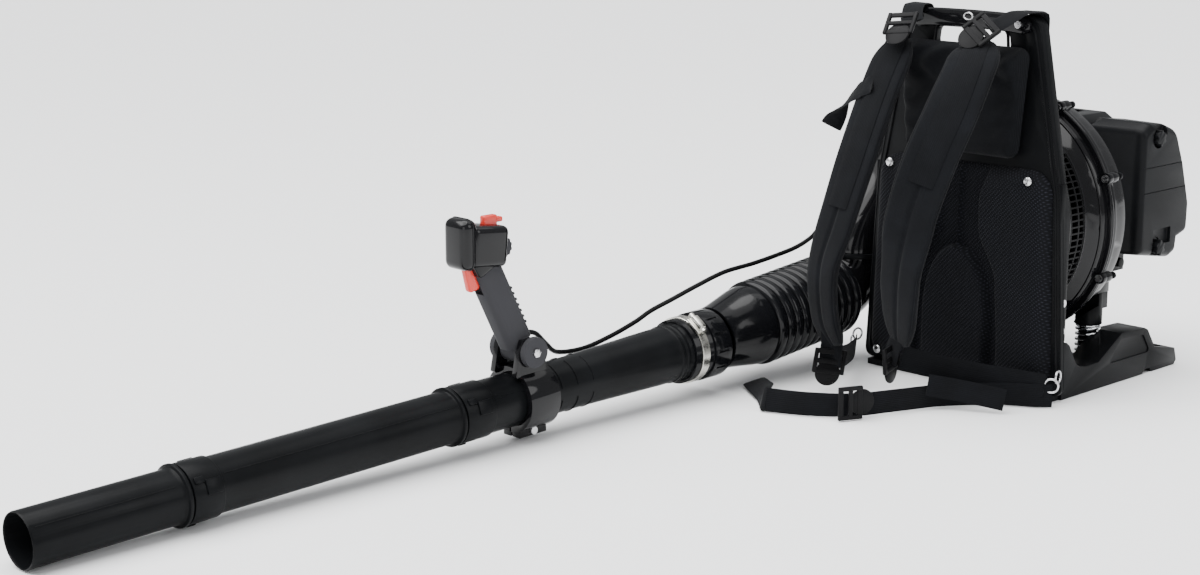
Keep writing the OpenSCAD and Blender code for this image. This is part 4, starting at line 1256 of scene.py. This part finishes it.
@dataclass
class ControlHandle:
    """Pistol handle with its clamp, housing, trigger and stop lever."""

    x: float = -0.21
    pivot_y: float = -0.62
    pivot_z: float = 0.116
    grip_lean: float = 27
    ridges: int = 7
    ridge_pitch: float = 0.0085
    ridge_half: Point = (0.0105, 0.0012, 0.0016)
    seam_half: float = 0.0213
    seam_y: float = -0.7085
    housing_foot: float = 0.2285
    housing_top: float = 0.2905

    def seam(self) -> None:
        """Lay the seam bead of the throttle housing and the ridges of the grip."""
        low, high = self.housing_foot, self.housing_top
        right, left = self.x + self.seam_half, self.x - self.seam_half
        corners = [(x, self.seam_y, z) for x, z in ((right, low), (right, high), (left, high), (left, low))]
        seam = cord_piece("housing_seam", soft_loop(corners, 0.0105), 0.0008, True)
        hand_over(seam, Finish.GLOSSY, Body.HANDLE, "gloss_plastic", 60)
        made = []
        lean = leaning(self.grip_lean)
        for k in range(self.ridges):
            up = 0.030 + self.ridge_pitch * k
            centre = Vector((self.x, self.pivot_y, self.pivot_z)) + lean @ Vector((0, 0.0195, up))
            half = Vector(self.ridge_half)
            made.append(block("ridge", tuple(centre - half), tuple(centre + half), 0.0008, 2, lean))
        hand_over(merged("grip_ridges", made), Finish.GRIP, Body.HANDLE, "grip_rubber")

    def housing(self) -> None:
        """Model the rounded throttle housing, its stop lever and the pivot's screw."""
        front = block("front", (self.x - 0.0210, -0.7225, self.housing_foot),
                      (self.x + 0.0210, -0.6985, self.housing_top), 0.0105, 6)
        rear = block("rear", (self.x - 0.0206, -0.7080, self.housing_foot),
                     (self.x + 0.0206, -0.6500, 0.2790), 0.0085, 5, leaning(-6))
        neck = block("neck", (self.x - 0.0170, -0.7000, 0.2230), (self.x + 0.0170, -0.6620, 0.2430), 0.005, 4,
                     leaning(self.grip_lean))
        piece = hand_over(merged("housing", [front, rear, neck]), Finish.GLOSSY, Body.HANDLE,
                          "gloss_plastic", 50)
        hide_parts("throttle_housing")
        lever = block("lever", (self.x - 0.0048, -0.6770, 0.2700), (self.x + 0.0048, -0.6560, 0.2890),
                      0.0022, 3)
        tip = block("tip", (self.x - 0.0044, -0.6640, 0.2790), (self.x + 0.0044, -0.6470, 0.2855), 0.002, 3)
        stop = hand_over(merged("stop_lever", [lever, tip]), Finish.RED, "stop", "signal_red", 50)
        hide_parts("stop_switch")
        blade = block("blade", (self.x - 0.0062, -0.7060, 0.1990), (self.x + 0.0062, -0.6890, 0.2440),
                      0.0045, 4, leaning(14))
        trigger = hand_over(blade, Finish.RED, "trigger_lever", "signal_red", 50)
        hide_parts("trigger")
        clear_selection()
        bpy.ops.mesh.primitive_cylinder_add(vertices=6, radius=0.0058, depth=0.004,
                                            location=(self.x + 0.0335, self.pivot_y, self.pivot_z),
                                            rotation=(0, math.radians(90), 0))
        nut = bpy.context.object
        settle(nut)
        edit_all(nut, lambda: bpy.ops.mesh.bevel(offset=0.0006, segments=2, affect="EDGES"))
        nut.name = "pivot_nut"
        hand_over(nut, Finish.STEEL, Body.HANDLE, "screw_steel")

    def build(self) -> None:
        """Build the handle."""
        eased("handle_clamp", Finish.GLOSSY, 0.0014, 3)
        dress("clamp_screw", Finish.STEEL)
        eased("grip", Finish.GRIP, 0.0022, 3)
        self.housing()
        eased("cruise_lever", Finish.GRIP, 0.0008)
        self.seam()


@dataclass
class ThrottleCable:
    """Throttle cable, in stretches; a stretch on one body moves with it, and one that crosses two is fixed to
    neither.
    """

    radius: float = 0.0032
    knots: Sequence[Point] = ((-0.218, -0.5985, 0.132), (-0.222, -0.580, 0.126), (-0.234, -0.552, 0.106),
                              (-0.246, -0.522, 0.088), (-0.254, -0.470, 0.082), (-0.257, -0.420, 0.088),
                              (-0.258, -0.370, 0.100), (-0.258, -0.340, 0.1105), (-0.254, -0.300, 0.122),
                              (-0.246, -0.260, 0.136), (-0.240, -0.215, 0.148), (-0.238, -0.160, 0.152),
                              (-0.240, -0.110, 0.156), (-0.246, -0.060, 0.160), (-0.258, -0.014, 0.166),
                              (-0.268, 0.020, 0.176), (-0.268, 0.060, 0.188), (-0.250, 0.112, 0.190),
                              (-0.212, 0.150, 0.196), (-0.164, 0.168, 0.214), (-0.121, 0.180, 0.264))
    stretches: Sequence[tuple[float, float, str, str | None]] = ((0.0, 0.075, "handle", "pipe"),
                                                                 (0.075, 0.25, "pipe", None),
                                                                 (0.25, 0.34, "pipe", "tube"),
                                                                 (0.34, 0.45, "tube", None),
                                                                 (0.45, 0.545, "tube", "hose"),
                                                                 (0.545, 0.66, "hose", "root"),
                                                                 (0.66, 1.0, "root", None))

    def build(self) -> None:
        """Build the stretches end to end."""
        route = Route(self.knots, [(1, 0, 0)] * len(self.knots), 8)
        for k, (start, end, first, second) in enumerate(self.stretches):
            steps = max(6, round((end - start) * route.length / 0.006))
            points = [tuple(route.at(start + (end - start) * i / steps)[0]) for i in range(steps + 1)]
            piece = cord_piece(f"cable_{k}", points, self.radius, ring=4)
            hand_over(piece, Finish.CABLE, None if second else first, "grip_rubber", 60)
            if second:
                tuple(points[0])
                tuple(points[-1])
                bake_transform(piece)
        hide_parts("throttle_cable_front")
        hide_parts("throttle_cable_mid")
        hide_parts("throttle_cable_rear")


# ---------------------------------------------------------------- harness


def smooth_step(low: float, high: float, value: float) -> float:
    """Return 0 below low, 1 above high and a smooth rise between."""
    t = max(0.0, min(1.0, (value - low) / (high - low)))
    return t * t * (3 - 2 * t)


@dataclass
class Cushion:
    """Pad on the frame: a closed crowned form over a rounded outline."""

    name: str
    half_low: float
    half_high: float
    low: float
    high: float
    back: float
    corner: float
    relief: Callable[[float, float], float]
    columns: int = 120
    rows: int = 120

    def half_width(self, z: float) -> float:
        """Return half the width at a height, with the corners rounded off."""
        share = (z - self.low) / (self.high - self.low)
        half = self.half_low + (self.half_high - self.half_low) * share
        near = min(z - self.low, self.high - z)
        if near < self.corner:
            half -= self.corner - math.sqrt(max(0.0, self.corner ** 2 - (self.corner - near) ** 2))
        return max(half, 0.004)

    def place(self, s: float, t: float) -> Vector:
        """Return the skin's point at a share across and a share up."""
        u = 2 * s - 1
        u = math.copysign(abs(u) ** 0.94, u)
        v = 0.5 - 0.5 * math.cos(math.pi * t) if 0 < t < 1 else t
        v = 0.35 * v + 0.65 * t
        z = self.low + (self.high - self.low) * v
        half = self.half_width(z)
        x = u * half
        edge = min(half - abs(x), z - self.low, self.high - z)
        rise = 1 - math.exp(-max(0.0, edge) / 0.0045)
        return Vector((x, self.back - 0.0004 - self.relief(x, z) * rise, z))

    def build(self, finish: Finish) -> Piece:
        """Build the cushion and close its back."""
        clear_selection()
        bpy.ops.mesh.primitive_grid_add(x_subdivisions=self.columns, y_subdivisions=self.rows, size=2.0)
        piece = bpy.context.object
        piece.name = self.name
        for vertex in piece.data.vertices:
            vertex.co = self.place((vertex.co.x + 1) / 2, (vertex.co.y + 1) / 2)
        edit_all(piece, lambda: bpy.ops.mesh.fill_holes(sides=0), outward)
        return hand_over(piece, finish, Body.ROOT, "pad_fabric", 70)


@dataclass
class Harness:
    """Back pad, yoke pad, shoulder straps, webbing and locks."""

    web: float = 0.031
    web_thick: float = 0.002
    web_square: float = 0.12
    web_around: int = 12

    @staticmethod
    def pad_relief(x: float, z: float) -> float:
        """Return how proud the back pad stands at a place on the frame."""
        ax = abs(x)
        inner = (0.068 - 0.006 * smooth_step(0.06, 0.16, z) - 0.030 * smooth_step(0.15, 0.225, z)
                 + 0.012 * smooth_step(0.26, 0.30, z))
        column = smooth_step(inner - 0.003, inner + 0.007, ax)
        middle = (inner + 0.143) / 2
        spread = (0.143 - inner) / 2
        column *= 1 - 0.22 * min(1.0, abs(ax - middle) / spread) ** 2.4
        column *= 1 - 0.5 * smooth_step(0.288, 0.304, z)
        reach = 0.054 * math.sqrt(max(0.0, 1 - max(0.0, (z - 0.092) / 0.1) ** 2.1))
        arch = smooth_step(-0.0045, 0.0055, reach - ax) * (1 - 0.18 * (ax / 0.06) ** 2)
        arch *= smooth_step(0.015, 0.028, z)
        dent = (0.35 * math.exp(-((ax - 0.113) ** 2 + (z - 0.293) ** 2) / 0.012 ** 2)
                + 0.35 * math.exp(-((ax - 0.126) ** 2 + (z - 0.027) ** 2) / 0.012 ** 2))
        return 0.0085 + 0.0158 * max(column, arch) * (1 - dent)

    @staticmethod
    def yoke_relief(x: float, z: float) -> float:
        """Return how proud the yoke pad stands, with its creases and rolled corners."""
        crown = 0.019 * (1 - 0.25 * (abs(x) / 0.105) ** 2)
        roll = 0.0075 * math.exp(-((abs(x) - 0.078) / 0.024) ** 2 - ((z - 0.443) / 0.024) ** 2)
        crease = 0.0028 * math.sin(x * 150 + 2.2 * math.sin(z * 90)) * math.exp(-((z - 0.44) / 0.03) ** 2)
        near_side = math.exp(-((abs(x) - 0.085) / 0.02) ** 2)
        crease += 0.0022 * math.sin(z * 210 + 3 * math.sin(x * 60)) * near_side
        hollow = 0.0045 * math.exp(-(x / 0.03) ** 2)
        return max(0.004, crown + roll + crease - hollow)

    def pads(self) -> None:
        """Build the back pad and the yoke pad."""
        back = Cushion("back_cushion", 0.148, 0.137, 0.014, 0.305, -0.0002, 0.030, self.pad_relief, 150,
                       150).build(Finish.MESH)
        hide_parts("back_pad")
        yoke = Cushion("yoke_cushion", 0.090, 0.103, 0.318, 0.464, -0.0126, 0.016, self.yoke_relief, 110,
                       80).build(Finish.YOKE)
        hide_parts("yoke_pad")

    def straps(self) -> None:
        """Build the two padded shoulder straps with their binding and sewn webs."""
        right = Route([(0.052, -0.056, 0.470), (0.068, -0.092, 0.446), (0.072, -0.138, 0.387),
                       (0.064, -0.168, 0.328), (0.051, -0.186, 0.256), (0.037, -0.184, 0.180),
                       (0.028, -0.172, 0.112), (0.024, -0.166, 0.088)],
                      [(1, 0.1, 0), (1, 0.4, 0), (1, 0.7, 0), (1, 0.65, 0), (1, 0.3, 0), (1, -0.15, 0),
                       (1, -0.35, 0), (1, -0.3, 0)])
        left = Route([(-0.074, -0.056, 0.466), (-0.073, -0.096, 0.407), (-0.071, -0.142, 0.325),
                      (-0.080, -0.172, 0.236), (-0.092, -0.184, 0.169), (-0.090, -0.180, 0.104),
                      (-0.080, -0.170, 0.066)],
                     [(1, 0, 0), (1, 0, 0), (1, 0, 0), (1, -0.1, 0), (1, -0.3, 0), (1, -0.35, 0),
                      (1, -0.2, 0)])
        for name, route, width in (("right", right, 0.066), ("left", left, 0.062)):
            shape = Ribbon(f"strap_{name}", route, width, 0.0135, 0.4, 0.42, 56, 0.5, 0.005, 0.04)
            strap = shape.build()
            hand_over(strap, Finish.PADDING, Body.ROOT, "pad_fabric", 70)
            for side in (-1, 1):
                edge = []
                for k in range(90):
                    share = 0.01 + 0.98 * k / 89
                    centre, _, across, _ = route.at(share)
                    edge.append(tuple(centre + across * side * (shape.outline(0.0, share)[0] - 0.0012)))
                binding = cord_piece(f"binding_{name}_{'in' if side < 0 else 'out'}", edge, 0.0026, ring=2)
                hand_over(binding, Finish.WEBBING, Body.ROOT, "webbing_fabric", 60)
            span = 0.50 if name == "right" else 0.56
            knots, sides = [], []
            for k in range(10):
                centre, _, across, out = route.at(span * k / 9)
                knots.append(tuple(centre - out * 0.0075))
                sides.append(tuple(across))
            sewn = self.flat_web(f"sewn_web_{name}", Route(knots, sides), 0.034).build()
            hand_over(sewn, Finish.WEBBING, Body.ROOT, "webbing_fabric", 60)
        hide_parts("shoulder_straps")

    def flat_web(self, name: str, route: Route, width: float) -> Ribbon:
        """Return a flat sewn web of a width along a route."""
        return Ribbon(name, route, width, self.web_thick, self.web_square, 0, self.web_around)

    def webs(self) -> None:
        """Build the lifting webs, the lower webs, the waist belt and the loose tails."""
        lift = [(0.062, -0.048, 0.488), (0.074, -0.034, 0.498), (0.084, -0.016, 0.508),
                (0.090, 0.0, 0.5095), (0.092, 0.014, 0.5085), (0.092, 0.0195, 0.501),
                (0.092, 0.0195, 0.480), (0.092, 0.0195, 0.458)]
        across = [(1, 0.05, 0)] * 8
        up = (0, 0.15, 1)
        made = [
            self.flat_web("lift_web_right", Route(lift, across), self.web),
            self.flat_web("lift_web_left", Route(
                [(-x, y, z) for x, y, z in lift],
                [(1, -0.05, 0)] * 8), self.web),
            self.flat_web("lower_web_right", Route(
                [(0.022, -0.158, 0.066), (0.052, -0.120, 0.052), (0.092, -0.078, 0.040),
                 (0.128, -0.050, 0.034), (0.160, -0.032, 0.030)],
                [up] * 5), self.web),
            self.flat_web("lower_web_left", Route(
                [(-0.084, -0.162, 0.046), (-0.110, -0.110, 0.036), (-0.136, -0.060, 0.032),
                 (-0.158, -0.030, 0.030)],
                [up] * 4), self.web),
            self.flat_web("end_web_right", Route(
                [(0.026, -0.167, 0.112), (0.022, -0.168, 0.094), (0.016, -0.169, 0.076),
                 (0.012, -0.169, 0.058)],
                [(1, -0.3, 0)] * 4), 0.03),
            self.flat_web("end_web_left", Route(
                [(-0.084, -0.173, 0.092), (-0.083, -0.172, 0.074), (-0.086, -0.171, 0.056),
                 (-0.088, -0.170, 0.036)],
                [(1, 0.5, 0)] * 4), 0.03),
            self.flat_web("waist_belt", Route(
                [(0.167, -0.024, 0.0165), (0.150, -0.040, 0.0165), (0.112, -0.066, 0.0165),
                 (0.066, -0.124, 0.0165), (0.040, -0.186, 0.0165), (0.014, -0.246, 0.0165),
                 (-0.030, -0.284, 0.0165), (-0.080, -0.306, 0.0165)],
                [(0, 0, 1), (0, 0, 1), (0.1, 0, 1), (0.12, 0.05, 1), (0.1, 0.1, 1), (0, 0, 1),
                 (-0.05, 0.1, 1), (-0.1, 0.2, 1)]), self.web),
            self.flat_web("waist_tail", Route(
                [(-0.080, -0.306, 0.0165), (-0.088, -0.306, 0.0162), (-0.092, -0.298, 0.0158),
                 (-0.112, -0.272, 0.0135), (-0.146, -0.246, 0.0105), (-0.176, -0.224, 0.008)],
                [(-0.1, 0.2, 1), (0, 0.3, 1), (0.1, 0.5, 1), (0.3, 0.8, 0.8), (0.4, 0.9, 0.5),
                 (0.5, 0.9, 0.3)]), self.web),
            self.flat_web("loose_tail", Route(
                [(-0.080, -0.104, 0.412), (-0.094, -0.106, 0.404), (-0.110, -0.106, 0.394),
                 (-0.132, -0.104, 0.374), (-0.154, -0.1, 0.346)],
                [(0.75, 0.2, 0.5), (0.7, 0.2, 0.6), (0.6, 0.2, 0.75), (0.62, 0.1, 0.72),
                 (0.7, 0, 0.66)]), 0.029),
            self.flat_web("free_end", Route(
                [(0.060, -0.150, 0.034), (0.086, -0.128, 0.029), (0.116, -0.110, 0.024),
                 (0.142, -0.094, 0.019)],
                [(0.1, 0.3, 1), (0.1, 0.2, 1), (0.0, 0.1, 1), (-0.1, 0.1, 1)]), 0.029),
        ]
        for ribbon in made:
            piece = ribbon.build()
            hand_over(piece, Finish.WEBBING, Body.ROOT, "webbing_fabric", 60)
        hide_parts("webbing")

    @staticmethod
    def lock(place: Point, along: Point, out: Point) -> Piece:
        """Make one ladder lock.

        Args:
            place: middle of the lock.
            along: direction of the web, from the thumb tab up.
            out: direction the lock faces.

        Returns:
            The lock.
        """
        parts = [block("rail", (x - 0.0028, -0.016, 0), (x + 0.0028, 0.018, 0.005), 0.0014)
                 for x in (-0.0192, 0.0192)]
        parts += [block("bar", (-0.0195, y - half, z), (0.0195, y + half, z + 0.0036), 0.0012) for y, half,
                  z in ((-0.0125, 0.0036, 0.0002), (0.001, 0.003, 0.0014), (0.0145, 0.0036, 0.0004))]
        clear_selection()
        bpy.ops.mesh.primitive_cylinder_add(vertices=48, radius=0.017, depth=0.003,
                                            location=(0, -0.016, 0.0015))
        tab = bpy.context.object
        settle(tab)
        edit_all(tab, lambda: bpy.ops.mesh.bevel(offset=0.0008, segments=2, affect="EDGES"))
        piece = merged("lock", parts + [tab])
        up = Vector(along).normalized()
        face = (Vector(out) - up * up.dot(Vector(out))).normalized()
        turn = Matrix((up.cross(face), up, face)).transposed().to_4x4()
        piece.data.transform(piece.matrix_world)
        piece.matrix_world = Matrix.Identity(4)
        piece.data.transform(Matrix.Translation(place) @ turn)
        return piece

    def locks(self) -> None:
        """Set the five ladder locks on their webs."""
        made = [self.lock(*facts) for facts in (
            ((0.060, -0.062, 0.487), (0.52, 0.61, 0.59), (0.19, -0.76, 0.62)),
            ((-0.068, -0.064, 0.486), (-0.15, 0.5, 0.6), (0.1, -0.8, 0.55)),
            ((0.012, -0.170, 0.064), (0.0, -0.1, 1.0), (0.85, 0.2, 0.0)),
            ((-0.088, -0.172, 0.042), (0.1, 0.1, 1.0), (0.8, -0.6, 0.0)),
            ((0.020, -0.258, 0.0230), (-0.4, -0.92, 0.0), (0.92, -0.4, 0.0)))]
        piece = hand_over(merged("locks", made), Finish.CAGE, Body.ROOT, "buckle_plastic")
        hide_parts("ladder_locks")

    def build(self) -> None:
        """Build the harness."""
        self.pads()
        self.straps()
        self.webs()
        self.locks()
        dress("strap_hooks", Finish.STEEL)


def main() -> None:
    """Build the whole picture."""
    logging.basicConfig(level=logging.INFO, format="%(name)s: %(message)s")
    Studio().build()
    for assembly in (BackFrame(), FanHousing(), AirFilterCover(), Hose(), BlowTube(), ControlHandle(),
                     ThrottleCable(), Harness()):
        log.info("building %s", type(assembly).__name__)
        assembly.build()
    clear_selection()


if __name__ == "__main__":
    main()
